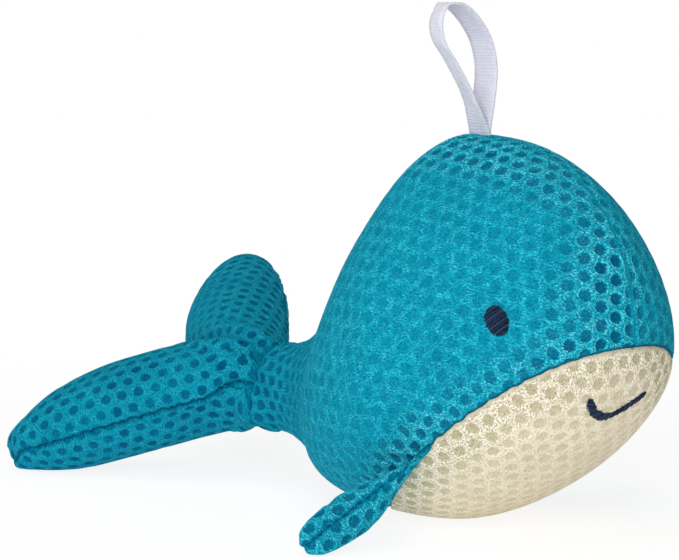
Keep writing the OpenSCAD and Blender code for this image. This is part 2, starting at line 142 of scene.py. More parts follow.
def drawnPoint(run, angle):
    # the solids' own formula, with its corner
    run, angle = np.broadcast_arrays(run, np.asarray(angle, float))
    back, face, high, nose = -torso["tailReach"], torso["faceReach"], torso["height"], torso["noseZ"]
    half, r, z, low = torso["width"] / 2, torso["creaseRadius"], torso["creaseZ"], -torso["pressedFlat"]
    crownX = face * -0.1205
    s = np.where(run < 0.5, 2 * run, 2 * run - 1)
    isBack = (run < 0.5)[..., None]
    top = np.where(isBack,
        cubic([(back, z + r), (back * 0.514, high * 0.39), (back * 0.396, high * 0.942), (crownX, high)], s),
        cubic([(crownX, high), (face * 0.499, high), (face, nose + (high - nose) * 0.711), (face, nose)], s))
    under = np.where(isBack,
        cubic([(back, z - r), (back * 0.539, high * 0.051), (back * 0.638, low), (crownX, low)], s),
        cubic([(crownX, low), (face * 0.127, low), (face, nose * 0.489), (face, nose)], s))
    wide = np.where(run < 0.5, cubic([r, r * 1.344, half * 0.791, half], s),
        cubic([half, half * 0.922, half * 0.73, 0], s))
    egg = 0.287 * np.minimum(1, (run / 0.3) ** 2)
    a = np.radians(angle)
    mid, up = (top + under) / 2, (top - under) / 2
    return np.stack([mid[..., 0] + up[..., 0] * np.cos(a) + torso["middleX"],
        -wide * np.sin(a) * (1 - egg * np.cos(a)), mid[..., 1] + up[..., 1] * np.cos(a)], -1)


def torsoNormal(run, angle, pointAt=torsoPoint):
    ahead = pointAt(np.minimum(run + 0.002, 1), angle) - pointAt(np.maximum(run - 0.002, 0), angle)
    return unit(np.cross(pointAt(run, angle + 1) - pointAt(run, angle - 1), ahead))


def gathered(grid):
    # the cloth's own fullness under the crease, shared by the tail and the flukes
    away = grid - (creaseX, 0, torso["creaseZ"])
    along, away = away[..., 0], away * (0, 1, 1)
    low = smooth(-unit(away)[..., 2], -0.1, 0.85)
    low = low * smooth(26 * mm - np.linalg.norm(away, axis=-1), 0, 12 * mm)
    full = torso["underFullness"] * bell(along, 9 * mm) + torso["creaseFullness"] * bell(along, 3.5 * mm)
    return unit(away) * (full * low)[..., None]


def creaseShare(down):
    # how deep the crease is drawn in, which is hardly at all underneath
    return 1 - 0.85 * smooth(down, 0.3, 0.95)


def drawnSeam(run):
    # the belly seam's angle, as the solids have it
    start = torso["bellyStart"]
    return cubic(torso["seamAngles"], np.clip((run - start) / (1 - start), 0, 1))


def seamAngle(run):
    # the hand-sewn seam wanders a little from its drawn line
    run = np.asarray(run, float)
    wobble = torso["seamWobble"] * (np.sin(run * 210) + 0.7 * np.sin(run * 347 + 1.2))
    wobble = wobble * smooth(run, 0.40, 0.47) * smooth(0.99 - run, 0, 0.05)
    return np.where(run <= torso["bellyStart"], 180, drawnSeam(run) + wobble)


def gridNormals(grid, outward):
    along, across = np.gradient(grid, axis=0), np.gradient(grid, axis=1)
    normals = unit(np.cross(along, across))
    r, c = grid.shape[0] // 2, grid.shape[1] // 2
    return normals * np.sign(np.dot(normals[r, c], outward))


def arcs(grid, axis):
    # distance run along a row or a column, from its start
    steps = np.linalg.norm(np.diff(grid, axis=axis), axis=-1)
    pad = [(0, 0), (0, 0)]
    pad[axis] = (1, 0)
    return np.pad(np.cumsum(steps, axis=axis), pad)


def lengths(curve):
    # distance run along a curve, from its start
    return np.concatenate([[0], np.cumsum(np.linalg.norm(np.diff(curve, axis=0), axis=-1))])


def evenly(pointAt, count, low, high):
    # parameters at equal distances along a curve
    t = np.linspace(low, high, 1200)
    far = lengths(pointAt(t))
    return np.interp(np.linspace(0, far[-1], count), far, t)


def evenRuns(pointAt, shares, low, high):
    # parameters at shares of a curve's length
    return np.interp(shares, np.linspace(0, 1, 1001), evenly(pointAt, 1001, low, high))


def wander(p, size, seed):
    # smooth unevenness from -1 to 1, the same in each run
    rng = np.random.default_rng(seed)
    total, waves = np.zeros(p.shape[:-1]), 7
    for _ in range(waves):
        way = unit(rng.normal(size=p.shape[-1]))
        total += np.sin((p @ way) * 2 * pi / (size * rng.uniform(0.7, 1.6)) + rng.uniform(0, 2 * pi))
    return total / waves ** 0.5 / 1.2


def drawnOff(phase, bend, share):
    # an uneven wave, for what gathers by hand
    return np.sin(phase + bend * np.sin(phase * share))


# Laying the cloth flat, so that its holes keep their size on the sewn form
def layFlat(sheet, rounds=60):
    # each triangle of the sheet is turned, not stretched, as nearly as its neighbours allow
    rows, cols = sheet.shape[:2]
    pts = sheet.reshape(-1, 3)
    ids = np.arange(rows * cols).reshape(rows, cols)
    a, b, c, d = ids[:-1, :-1].ravel(), ids[:-1, 1:].ravel(), ids[1:, 1:].ravel(), ids[1:, :-1].ravel()
    tris = np.concatenate([np.stack([a, b, c], 1), np.stack([a, c, d], 1)])
    side, other = pts[tris[:, 1]] - pts[tris[:, 0]], pts[tris[:, 2]] - pts[tris[:, 0]]
    x = unit(side)
    y = np.cross(unit(np.cross(side, other)), x)
    rest = np.zeros((len(tris), 3, 2))
    rest[:, 1, 0] = np.linalg.norm(side, axis=1)
    rest[:, 2, 0], rest[:, 2, 1] = (other * x).sum(1), (other * y).sum(1)
    n = len(pts)
    stiff = np.zeros((n, n))
    edges = []
    for i, j, k in ((0, 1, 2), (1, 2, 0), (2, 0, 1)):
        u, v = rest[:, i] - rest[:, k], rest[:, j] - rest[:, k]
        cot = (u * v).sum(1) / np.maximum(np.abs(u[:, 0] * v[:, 1] - u[:, 1] * v[:, 0]), 1e-14)
        cot = np.clip(cot, 0.02, 8) / 2  # so that no sliver pulls too little or too hard
        edges.append((tris[:, i], tris[:, j], rest[:, i] - rest[:, j], cot))
        for p, q, w in ((i, j, -1), (j, i, -1), (i, i, 1), (j, j, 1)):
            np.add.at(stiff, (tris[:, p], tris[:, q]), w * cot)
    middle = cols // 2
    across = arcs(sheet, 1)
    flat = np.stack([np.broadcast_to(arcs(sheet, 0)[:, middle:middle + 1], (rows, cols)),
        across - across[:, middle:middle + 1]], -1).reshape(-1, 2)
    first, second = flat[tris[0, 1]] - flat[tris[0, 0]], flat[tris[0, 2]] - flat[tris[0, 0]]
    if first[0] * second[1] - first[1] * second[0] < 0:
        flat[:, 1] *= -1
    stiff[0, 0] += 1
    solver = np.linalg.inv(stiff)
    for _ in range(rounds):
        pull = np.zeros((len(tris), 2, 2))
        for i, j, r, w in edges:
            pull += w[:, None, None] * (flat[i] - flat[j])[:, :, None] * r[:, None, :]
        turn = np.arctan2(pull[:, 1, 0] - pull[:, 0, 1], pull[:, 0, 0] + pull[:, 1, 1])
        c, s = np.cos(turn), np.sin(turn)
        spin = np.stack([np.stack([c, -s], -1), np.stack([s, c], -1)], -2)
        force = np.zeros((n, 2))
        for i, j, r, w in edges:
            moved = w[:, None] * np.einsum("tij,tj->ti", spin, r)
            np.add.at(force, i, moved)
            np.add.at(force, j, -moved)
        flat = solver @ force
    return flat.reshape(rows, cols, 2)


def spread(flat, rows, cols):
    # a coarse grid's values over a finer one
    atRows, atCols = np.linspace(0, 1, flat.shape[0]), np.linspace(0, 1, flat.shape[1])
    wide = np.stack([[np.interp(cols, atCols, row[:, k]) for k in range(2)] for row in flat])
    return np.stack([np.stack([np.interp(rows, atRows, wide[:, k, j]) for j in range(len(cols))], 1)
        for k in range(2)], -1)


def clothOver(pointAt, rows, cols, upAt, up, slip):
    # cloth coordinates on a grid of shares; the holes' columns follow `up` at the place `upAt`
    coarseRows, coarseCols = 32, 24
    sheet = pointAt(np.linspace(0, 1, coarseRows + 1), np.linspace(0, 1, coarseCols + 1))
    flat = layFlat(sheet)
    i, j = int(upAt[0] * coarseRows), int(upAt[1] * coarseCols)
    du, dv = sheet[i + 1, j] - sheet[i, j], sheet[i, j + 1] - sheet[i, j]
    share = np.linalg.lstsq(np.stack([du, dv], 1), np.array(up, float), rcond=None)[0]
    way = share[0] * (flat[i + 1, j] - flat[i, j]) + share[1] * (flat[i, j + 1] - flat[i, j])
    t = np.arctan2(way[0], way[1])
    turned = flat @ np.array([[np.cos(t), np.sin(t)], [-np.sin(t), np.cos(t)]])
    turned = turned - turned[i, j] + np.array(slip)
    fine = spread(turned, rows, cols)
    wobble = np.stack([wander(fine, 17 * mm, 3), wander(fine, 15 * mm, 4)], -1) * 0.28 * mm
    return fine + wobble


# Meshes
def placed(name, data):
    obj = bpy.data.objects.new(name, data)
    scene.collection.objects.link(obj)
    return obj


def makeMesh(name, verts, faces, attributes=()):
    mesh = bpy.data.meshes.new(name)
    mesh.from_pydata([tuple(v) for v in verts], [], faces)
    for key, kind, values in attributes:
        layer = mesh.attributes.new(key, kind, "POINT")
        field = "vector" if kind == "FLOAT_VECTOR" else "value"
        layer.data.foreach_set(field, np.asarray(values, float).ravel())
    return placed(name, mesh)


def reshape(obj, change, part, **settings):
    work = bmesh.new()
    work.from_mesh(obj.data)
    change(work, **{part: getattr(work, part)}, **settings)
    work.to_mesh(obj.data)
    work.free()


def outwards(obj):
    reshape(obj, bmesh.ops.recalc_face_normals, "faces")
    obj.data.shade_smooth()


def tubeFaces(rings, around, capped=True):
    # four-sided faces from ring to ring, and one across each end
    faces = [(i * around + j, i * around + (j + 1) % around, (i + 1) * around + (j + 1) % around,
        (i + 1) * around + j) for i in range(rings - 1) for j in range(around)]
    if capped:
        faces += [tuple(range(around - 1, -1, -1)), tuple(range((rings - 1) * around, rings * around))]
    return faces


def sewnSheet(name, outer, inner, cloth, show, seam, calm, step=4):
    # a closed panel: a fine outer sheet, a coarse inner one, and walls between their edges
    rows, cols = outer.shape[:2]
    back = inner[::step, ::step]
    bRows, bCols = back.shape[:2]
    front = np.arange(rows * cols).reshape(rows, cols)
    behind = rows * cols + np.arange(bRows * bCols).reshape(bRows, bCols)
    faces = np.stack([front[:-1, :-1], front[1:, :-1], front[1:, 1:], front[:-1, 1:]], -1)
    backFaces = np.stack([behind[:-1, :-1], behind[:-1, 1:], behind[1:, 1:], behind[1:, :-1]], -1)
    faces = faces.reshape(-1, 4).tolist() + backFaces.reshape(-1, 4).tolist()
    for fine, coarse, flip in ((front[0], behind[0], 0), (front[:, -1], behind[:, -1], 0),
            (front[-1], behind[-1], 1), (front[:, 0], behind[:, 0], 1)):
        for k in range(len(coarse) - 1):
            run = fine[k * step:(k + 1) * step + 1]
            half = step // 2
            fan = [(run[i], run[i + 1], coarse[k] if i < half else coarse[k + 1]) for i in range(step)]
            fan.append((run[half], coarse[k + 1], coarse[k]))
            faces += [tuple(int(v) for v in (f[::-1] if flip else f)) for f in fan]
    verts = np.concatenate([outer.reshape(-1, 3), back.reshape(-1, 3)])
    fabric = np.concatenate([cloth.reshape(-1, 2), cloth[::step, ::step].reshape(-1, 2)])
    fabric = np.concatenate([fabric, np.zeros((len(fabric), 1))], 1)
    # the seam attribute is painted shade along seams, creases and pleat furrows, together with drawn lines;
    # calm holds the painted highlights back
    onFront = [(key, "FLOAT", np.concatenate([values.ravel(), np.zeros(back[..., 0].size)]))
        for key, values in (("show", show), ("seam", seam), ("calm", calm))]
    obj = makeMesh(name, verts, faces, [("fabric", "FLOAT_VECTOR", fabric)] + onFront)
    outwards(obj)
    return obj


# Node helpers, for geometry and shader trees alike
def put(tree, kind, settings=None, **inputs):
    node = tree.nodes.new(kind)
    for key, value in (settings or {}).items():
        setattr(node, key, value)
    for key, value in inputs.items():
        name = int(key[2:]) if key.startswith("at") and key[2:].isdigit() else key.replace("_", " ")
        socket = node.inputs[name]
        if isinstance(value, bpy.types.NodeSocket):
            tree.links.new(value, socket)
        else:
            socket.default_value = value
    return node


def calc(tree, operation, *values):
    named = {f"at{i}": v for i, v in enumerate(values)}
    return put(tree, "ShaderNodeMath", {"operation": operation}, **named).outputs[0]


def times(tree, first, *others):
    for other in others:
        first = calc(tree, "MULTIPLY", first, other)
    return first


def without(tree, value):
    return calc(tree, "SUBTRACT", 1.0, value)


def vector(tree, operation, *values, out=0):
    named = {f"at{i}": v for i, v in enumerate(values)}
    return put(tree, "ShaderNodeVectorMath", {"operation": operation}, **named).outputs[out]


def scaled(tree, arrow, by):
    return put(tree, "ShaderNodeVectorMath", {"operation": "SCALE"}, at0=arrow, Scale=by).outputs[0]


def ramp(tree, value, low, high, toLow=0.0, toHigh=1.0):
    return put(tree, "ShaderNodeMapRange", {"interpolation_type": "SMOOTHSTEP"}, at0=value, at1=low, at2=high,
        at3=toLow, at4=toHigh).outputs[0]


def stored(tree, name, kind="FLOAT"):
    # a point attribute, in a geometry tree
    return put(tree, "GeometryNodeInputNamedAttribute", {"data_type": kind}, Name=name).outputs[0]


def attribute(tree, name, out="Fac"):
    # a point attribute, in a material
    return put(tree, "ShaderNodeAttribute", {"attribute_name": name}).outputs[out]


def holeDistance(tree, cloth, pitch):
    # distance to the nearest hole of a staggered lattice, and a number of that hole's own
    rowGap = calc(tree, "MULTIPLY", pitch, sqrt(3))
    period = put(tree, "ShaderNodeCombineXYZ", X=rowGap, Y=pitch, Z=1.0).outputs[0]
    spot = vector(tree, "DIVIDE", cloth, period)
    found = []
    for offset in (0.0, 0.5):
        shifted = vector(tree, "ADD", spot, (offset, offset, 0))
        cell = vector(tree, "FLOOR", shifted)
        inside = vector(tree, "SUBTRACT", vector(tree, "SUBTRACT", shifted, cell), (0.5, 0.5, 0))
        inside = vector(tree, "MULTIPLY", vector(tree, "MULTIPLY", inside, period), (1, 1, 0))
        number = vector(tree, "ADD", cell, (offset * 77, offset * 31, 0))  # apart from the other half's
        found.append((vector(tree, "LENGTH", inside, out=1), number))
    nearer = calc(tree, "LESS_THAN", found[1][0], found[0][0])
    away = calc(tree, "MINIMUM", found[0][0], found[1][0])
    gap = vector(tree, "SUBTRACT", found[1][1], found[0][1])
    return away, vector(tree, "ADD", found[0][1], scaled(tree, gap, nearer))


def newTree(name, kind, inputs, outputs):
    tree = bpy.data.node_groups.new(name, kind)
    for label, socket, value in inputs:
        made = tree.interface.new_socket(label, in_out="INPUT", socket_type="NodeSocket" + socket)
        if value is not None:
            made.default_value = value
    for label, socket in outputs:
        tree.interface.new_socket(label, in_out="OUTPUT", socket_type="NodeSocket" + socket)
    return tree, tree.nodes.new("NodeGroupInput").outputs, tree.nodes.new("NodeGroupOutput").inputs


def newModifier(name, sizes):
    # a geometry tree from a mesh to a mesh, with named sizes
    inputs = [("Geometry", "Geometry", None), *((size, "Float", 0.0) for size in sizes),
        ("Material", "Material", None)]
    return newTree(name, "GeometryNodeTree", inputs, [("Geometry", "Geometry")])


def pushed(tree, geometry, height):
    # the surface moved along its normals
    push = scaled(tree, put(tree, "GeometryNodeInputNormal").outputs[0], height)
    return put(tree, "GeometryNodeSetPosition", Geometry=geometry, Offset=push).outputs[0]


def closed(tree, geometry, given, result):
    # how every geometry tree ends
    made = put(tree, "GeometryNodeSetShadeSmooth", Geometry=geometry).outputs[0]
    made = put(tree, "GeometryNodeRealizeInstances", Geometry=made).outputs[0]
    made = put(tree, "GeometryNodeSetMaterial", Geometry=made, Material=given["Material"]).outputs[0]
    tree.links.new(made, result[0])


def evaluated(obj, modifier):
    # the modifier's result as a plain mesh on the same object
    bpy.context.view_layer.update()
    made = bpy.data.meshes.new_from_object(obj.evaluated_get(bpy.context.evaluated_depsgraph_get()))
    obj.modifiers.remove(modifier)
    old, obj.data = obj.data, made
    made.name = obj.name
    bpy.data.meshes.remove(old)
    return obj


def finished(obj, tree, values):
    # inputs are set by identifier, before the object is first evaluated
    change = obj.modifiers.new(tree.name, "NODES")
    change.node_group = tree
    sockets = {s.name: s.identifier for s in tree.interface.items_tree if s.in_out == "INPUT"}
    for label, value in values.items():
        change[sockets[label]] = value
    obj.update_tag()
    return evaluated(obj, change)


# Presses the holes into a cloth grid that carries the attributes "fabric" and "show"
perforations, given, result = newModifier("airMeshPerforations",
    ("Pitch", "Hole radius", "Soft edge", "Depth"))
away, _ = holeDistance(perforations, stored(perforations, "fabric", "FLOAT_VECTOR"), given["Pitch"])
inner = calc(perforations, "SUBTRACT", given["Hole radius"], given["Soft edge"])
outer = calc(perforations, "ADD", given["Hole radius"], given["Soft edge"])
sunk = times(perforations, ramp(perforations, away, inner, outer, 1.0, 0.0), stored(perforations, "show"),
    given["Depth"], -1.0)
closed(perforations, pushed(perforations, given["Geometry"], sunk), given, result)


# Materials
def mixed(tree, share, first, second):
    node = put(tree, "ShaderNodeMix", {"data_type": "RGBA"})
    for index, value in ((0, share), (6, first), (7, second)):
        if isinstance(value, bpy.types.NodeSocket):
            tree.links.new(value, node.inputs[index])
        else:
            node.inputs[index].default_value = value
    return node.outputs[2]


def noise(tree, where, scale, detail=2.0, rough=0.5):
    return put(tree, "ShaderNodeTexNoise", Vector=where, Scale=scale, Detail=detail,
        Roughness=rough).outputs[0]


def objectPlace(tree):
    return put(tree, "ShaderNodeTexCoord").outputs["Object"]


yarn = {  # each stretch is the count per metre along the cloth, across it and through it
    "fleckStretch": (950, 2500, 1000), "fleckTurns": (0.3, -0.25), "fleckShare": 0.62,
    "wireStretch": (500, 1200, 1000), "wireTurn": 0.15, "wireShare": 0.75,
    "crimpStretch": (1700, 2500, 1900), "crimpTurn": 0.35,
    "nettingStretch": (700, 2900, 1000), "nettingTurn": 0.8, "nettingShare": 0.34,
    "clusterScale": 330.0, "patchScale": 90.0, "ragScale": 1300.0, "ragReach": 1.5 * mm,
    "rimGap": 0.38 * mm, "bumpStrength": 0.55, "bumpDepth": 0.3 * mm, "shine": 0.04,
}

# Knitted spacer mesh: painted highlights on the yarn as flecks, broken rims and glints, and painted shade
# inside the holes, with netting behind them
knit, given, result = newTree("spacerKnit", "ShaderNodeTree", [
    ("Cloth", "Vector", None), ("Show", "Float", 1.0), ("Place", "Vector", None),
    ("Pitch", "Float", airMesh["pitch"]), ("Hole radius", "Float", airMesh["holeRadius"]),
    *((label, "Color", None) for label in ("Yarn", "Light yarn", "Deep yarn", "Hole")),
    ("Sparkle", "Float", 1.0), ("Seam", "Float", 0.0), ("Speckle", "Float", 0.0)],
    [("Colour", "Color"), ("Height", "Float"), ("Roughness", "Float")])
cloth, show, sparkle = given["Cloth"], given["Show"], given["Sparkle"]


def yarnNoise(stretch, turn, detail=1.0, rough=0.5):
    where = put(knit, "ShaderNodeMapping", Vector=cloth, Rotation=(0, 0, turn)).outputs[0]
    return noise(knit, vector(knit, "MULTIPLY", where, stretch), 1.0, detail, rough)


away, own = holeDistance(knit, cloth, given["Pitch"])
rag = calc(knit, "SUBTRACT", noise(knit, cloth, yarn["ragScale"]), 0.5)
rag = times(knit, rag, yarn["ragReach"], ramp(knit, sparkle, 0.4, 0.8, 0.45, 1.0))
away = calc(knit, "ADD", away, rag)
fromHole = calc(knit, "SUBTRACT", away, given["Hole radius"])
hole = without(knit, ramp(knit, fromHole, -0.4 * mm, 0.35 * mm))
rim = calc(knit, "SUBTRACT", away, calc(knit, "ADD", given["Hole radius"], yarn["rimGap"]))
rim = without(knit, ramp(knit, calc(knit, "ABSOLUTE", rim), 0.08 * mm, 0.42 * mm))
leftFleck, rightFleck = (yarnNoise(yarn["fleckStretch"], turn, 2.0, 0.6) for turn in yarn["fleckTurns"])
fleck = calc(knit, "MAXIMUM", leftFleck, rightFleck)
wire = calc(knit, "SUBTRACT", yarnNoise(yarn["wireStretch"], yarn["wireTurn"]), 0.5)
wire = without(knit, ramp(knit, calc(knit, "ABSOLUTE", wire), 0.01, 0.065))
cluster = ramp(knit, noise(knit, cloth, yarn["clusterScale"], 1.0), 0.38, 0.62, 0.5, 1.0)
web = ramp(knit, fromHole, -0.5 * mm, 0.5 * mm, 0.5, 1.0)
# painted highlights on the yarn, as flecks and wires
bright = calc(knit, "MAXIMUM", ramp(knit, fleck, 0.62, 0.74), times(knit, wire, yarn["wireShare"]))
bright = times(knit, bright, web, sparkle, cluster, yarn["fleckShare"])
crimp = yarnNoise(yarn["crimpStretch"], yarn["crimpTurn"])
# painted glints, whiter where the holes show plainly
glint = times(knit, ramp(knit, crimp, 0.56, 0.63), web, ramp(knit, cluster, 0.5, 1.0, 0.3, 1.0), sparkle,
    ramp(knit, show, 0.15, 0.6, 0.65, 1.0))
# painted highlight along the rims of the holes
rimLight = times(knit, rim, ramp(knit, fleck, 0.48, 0.6), show, sparkle, ramp(knit, show, 0.3, 0.9, 0.5, 1.1),
    ramp(knit, sparkle, 0.5, 0.8, 0.3, 1.0))
paler = times(knit, ramp(knit, show, 0.2, 0.7, 0.06, 0.2), ramp(knit, sparkle, 0.4, 0.85, 0.35, 1.0))
netting = ramp(knit, yarnNoise(yarn["nettingStretch"], yarn["nettingTurn"]), 0.5, 0.66)
chance = put(knit, "ShaderNodeTexWhiteNoise", {"noise_dimensions": "3D"}, Vector=own).outputs[0]
holeShare = times(knit, hole, calc(knit, "ADD", 0.72, times(knit, chance, 0.28)), show)
speck = times(knit, ramp(knit, crimp, 0.46, 0.38), given["Speckle"], ramp(knit, show, 0.45, 0.85))
dim = ramp(knit, calc(knit, "MINIMUM", leftFleck, rightFleck), 0.47, 0.35)
patch = ramp(knit, noise(knit, given["Place"], yarn["patchScale"], 3.0), 0.4, 0.7, 0.0, 0.3)
glintTone = mixed(knit, paler, given["Light yarn"], (1, 1, 1, 1))
# painted shade inside the holes, over holes that are really pressed in, with the lighter netting behind them
holeShadeTone = mixed(knit, times(knit, netting, yarn["nettingShare"]), given["Hole"], given["Yarn"])
speckTone = mixed(knit, 0.5, given["Hole"], (0.05, 0.05, 0.03, 1))
# the last mix lays painted shade along seams, creases and pleats, and the drawn lines, in the holes' shaded
# colour
tone = given["Yarn"]
for share, over in ((dim, given["Deep yarn"]), (patch, given["Deep yarn"]),
        (calc(knit, "MINIMUM", calc(knit, "ADD", bright, rimLight), 1.0), given["Light yarn"]),
        (glint, glintTone), (calc(knit, "MINIMUM", holeShare, 1.0), holeShadeTone), (speck, speckTone),
        (times(knit, given["Seam"], ramp(knit, fleck, 0.72, 0.5, 0.45, 1.0)), given["Hole"])):
    tone = mixed(knit, share, tone, over)
raised = calc(knit, "ADD", times(knit, fleck, 0.7), times(knit, without(knit, hole), 0.4))
knit.links.new(tone, result["Colour"])
knit.links.new(raised, result["Height"])
knit.links.new(ramp(knit, fleck, 0.3, 0.8, 0.95, 0.75), result["Roughness"])

# Fine unevenness of yarns, fibres and moulded parts
grain, given, result = newTree("fineGrain", "ShaderNodeTree", [
    ("Place", "Vector", None), ("Size", "Float", 1000.0), ("Amount", "Float", 0.5), ("Base", "Color", None),
    ("Shade", "Color", None)], [("Colour", "Color"), ("Height", "Float"), ("Roughness", "Float")])
fine = noise(grain, given["Place"], given["Size"], 4.0, 0.6)
broad = noise(grain, given["Place"], times(grain, given["Size"], 0.12))
share = calc(grain, "ADD", times(grain, fine, 0.6), times(grain, broad, 0.4))
share = times(grain, ramp(grain, share, 0.35, 0.7), given["Amount"])
grain.links.new(mixed(grain, share, given["Base"], given["Shade"]), result["Colour"])
grain.links.new(fine, result["Height"])
grain.links.new(ramp(grain, broad, 0.3, 0.7, 0.38, 0.6), result["Roughness"])


def emptied(owner):
    owner.use_nodes = True
    owner.node_tree.nodes.clear()
    return owner.node_tree


def surface(name):
    # a new material with its shader and output in place
    made = bpy.data.materials.new(name)
    tree = emptied(made)
    shader = tree.nodes.new("ShaderNodeBsdfPrincipled")
    tree.links.new(shader.outputs[0], tree.nodes.new("ShaderNodeOutputMaterial").inputs[0])
    return made, tree, shader


def dressed(tree, shader, group, bumpStrength, bumpDepth, settings=None, tone=None):
    tree.links.new(group.outputs["Colour"] if tone is None else tone, shader.inputs["Base Color"])
    tree.links.new(group.outputs["Roughness"], shader.inputs["Roughness"])
    bump = put(tree, "ShaderNodeBump", Height=group.outputs["Height"], Strength=bumpStrength,
        Distance=bumpDepth)
    tree.links.new(bump.outputs[0], shader.inputs["Normal"])
    for key, value in (settings or {}).items():
        shader.inputs[key].default_value = value


def airMeshMaterial(name, colour, sparkle, speckle=0.0, radius=airMesh["holeRadius"]):
    made, tree, shader = surface(name)
    shades = [linear(colours[colour + shade]) for shade in ("", "Light", "Deep", "Hole")]
    group = put(tree, "ShaderNodeGroup", {"node_tree": knit}, Cloth=attribute(tree, "fabric", "Vector"),
        Show=attribute(tree, "show"), Place=objectPlace(tree),
        Pitch=airMesh["pitch"], Hole_radius=radius, Yarn=shades[0], Light_yarn=shades[1], Deep_yarn=shades[2],
        Hole=shades[3], Speckle=speckle, Seam=attribute(tree, "seam"),
        Sparkle=times(tree, without(tree, attribute(tree, "calm")), sparkle))
    dressed(tree, shader, group, yarn["bumpStrength"], yarn["bumpDepth"],
        {"Specular IOR Level": yarn["shine"]})
    return made


def grainMaterial(name, colour, size, amount, bumpStrength, bumpDepth, settings=None, stretch=(1, 1, 1)):
    made, tree, shader = surface(name)
    place = vector(tree, "MULTIPLY", objectPlace(tree), stretch)
    group = put(tree, "ShaderNodeGroup", {"node_tree": grain}, Place=place, Size=size, Amount=amount,
        Base=linear(colours[colour]), Shade=linear(colours[colour + "Shade"]))
    dressed(tree, shader, group, bumpStrength, bumpDepth, settings)
    return made


def threadMaterial(name, size, amount, highlightShare):
    # stitches differ a little by their attribute "thread", which gives each thread its own share of painted
    # highlight
    made, tree, shader = surface(name)
    light = linear(colours["navyLight"])
    group = put(tree, "ShaderNodeGroup", {"node_tree": grain}, Size=size, Amount=amount,
        Place=objectPlace(tree), Base=linear(colours["navy"]), Shade=light)
    own = ramp(tree, attribute(tree, "thread"), 0.5, 1.0, 0.0, highlightShare)
    dressed(tree, shader, group, 0.5, 0.15 * mm, {"Specular IOR Level": 0.05},
        mixed(tree, own, group.outputs["Colour"], light))
    return made


tealMesh = airMeshMaterial("tealAirMesh", "teal", 0.85)
tailMesh = airMeshMaterial("tealAirMeshTail", "teal", 0.34, radius=airMesh["tailHoleRadius"])
creamMesh = airMeshMaterial("creamAirMesh", "cream", 1.0, 0.75)
threadNavy = threadMaterial("navyThread", 1800.0, 0.3, 0.5)
ribbonWhite = grainMaterial("ribbonWhite", "ribbon", 2200.0, 0.5, 0.25, 0.08 * mm,
    {"Sheen Weight": 0.1, "Subsurface Weight": 0.15, "Subsurface Scale": 0.5 * mm})
fibreFill = grainMaterial("fibreFill", "fibre", 700.0, 0.6, 0.9, 0.6 * mm, {"Sheen Weight": 0.4}, (1, 1, 0.4))
squeakerPlastic = grainMaterial("squeakerPlastic", "plastic", 260.0, 0.35, 0.08, 0.05 * mm)
plugPlastic = grainMaterial("plugPlastic", "plug", 300.0, 0.4, 0.08, 0.05 * mm)
bellowsPlastic = grainMaterial("bellowsPlastic", "bellows", 240.0, 0.4, 0.1, 0.05 * mm,
    {"Subsurface Weight": 0.2, "Subsurface Scale": 1 * mm})
reedFilm = grainMaterial("reedFilm", "reed", 500.0, 0.5, 0.05, 0.03 * mm)
for node, finish in (("squeaker_base", squeakerPlastic), ("squeaker_cap", squeakerPlastic),
        ("squeaker_plug", plugPlastic), ("squeaker_bellows", bellowsPlastic), ("squeaker_reed", reedFilm)):
    bpy.data.objects[node].data.materials.clear()
    bpy.data.objects[node].data.materials.append(finish)
print("materials made")


def perforated(obj, material, depth=1.0, radius=airMesh["holeRadius"]):
    return finished(obj, perforations, {"Pitch": airMesh["pitch"], "Hole radius": radius,
        "Soft edge": airMesh["softEdge"], "Depth": airMesh["depth"] * depth, "Material": material})


# Torso cloth
sidePanel = {
    "rows": 305, "cols": 265, "seamDepth": 0.3 * mm, "seamWidth": 0.6 * mm, "bellySeamDepth": 1.0 * mm,
    "bellySeamWidth": 0.85 * mm, "creaseDepth": 1.5 * mm, "creaseWidth": 0.9 * mm, "pleats": 19,
    "pleatHeight": 0.4 * mm, "pleatReach": 8 * mm, "backFullness": 3.4 * mm, "lumps": 0.22 * mm,
    "lumpSize": 34 * mm, "gather": 1.3, "gatherShare": 0.16, "middleGap": 0.03 * mm, "floorGap": 0.02 * mm,
    "drawnLines": 88,
}
bellyPanel = {
    "rows": 201, "cols": 233, "seamDepth": 1.0 * mm, "seamWidth": 0.85 * mm, "lumps": 0.12 * mm,
    "lumpSize": 30 * mm, "holeDepthShare": 0.45,
}
runEnd = 0.998  # just short of the nose's point


def sideGrid(rows, cols, gather=1.0):
    # rows and cols are shares; the right side, y < 0
    run = evenRuns(lambda t: torsoPoint(t, 75), rows, 0, runEnd)[:, None]
    angle = seamAngle(run) * cols[None, :]
    grid = torsoPoint(run, angle)
    if gather != 1.0:
        axis = (torsoPoint(run, 0) + torsoPoint(run, 180)) / 2
        wide = 1 + (gather - 1) * bell(run, sidePanel["gatherShare"])
        grid = axis + (grid - axis) * wide[..., None]
    return run + 0 * angle, angle, grid


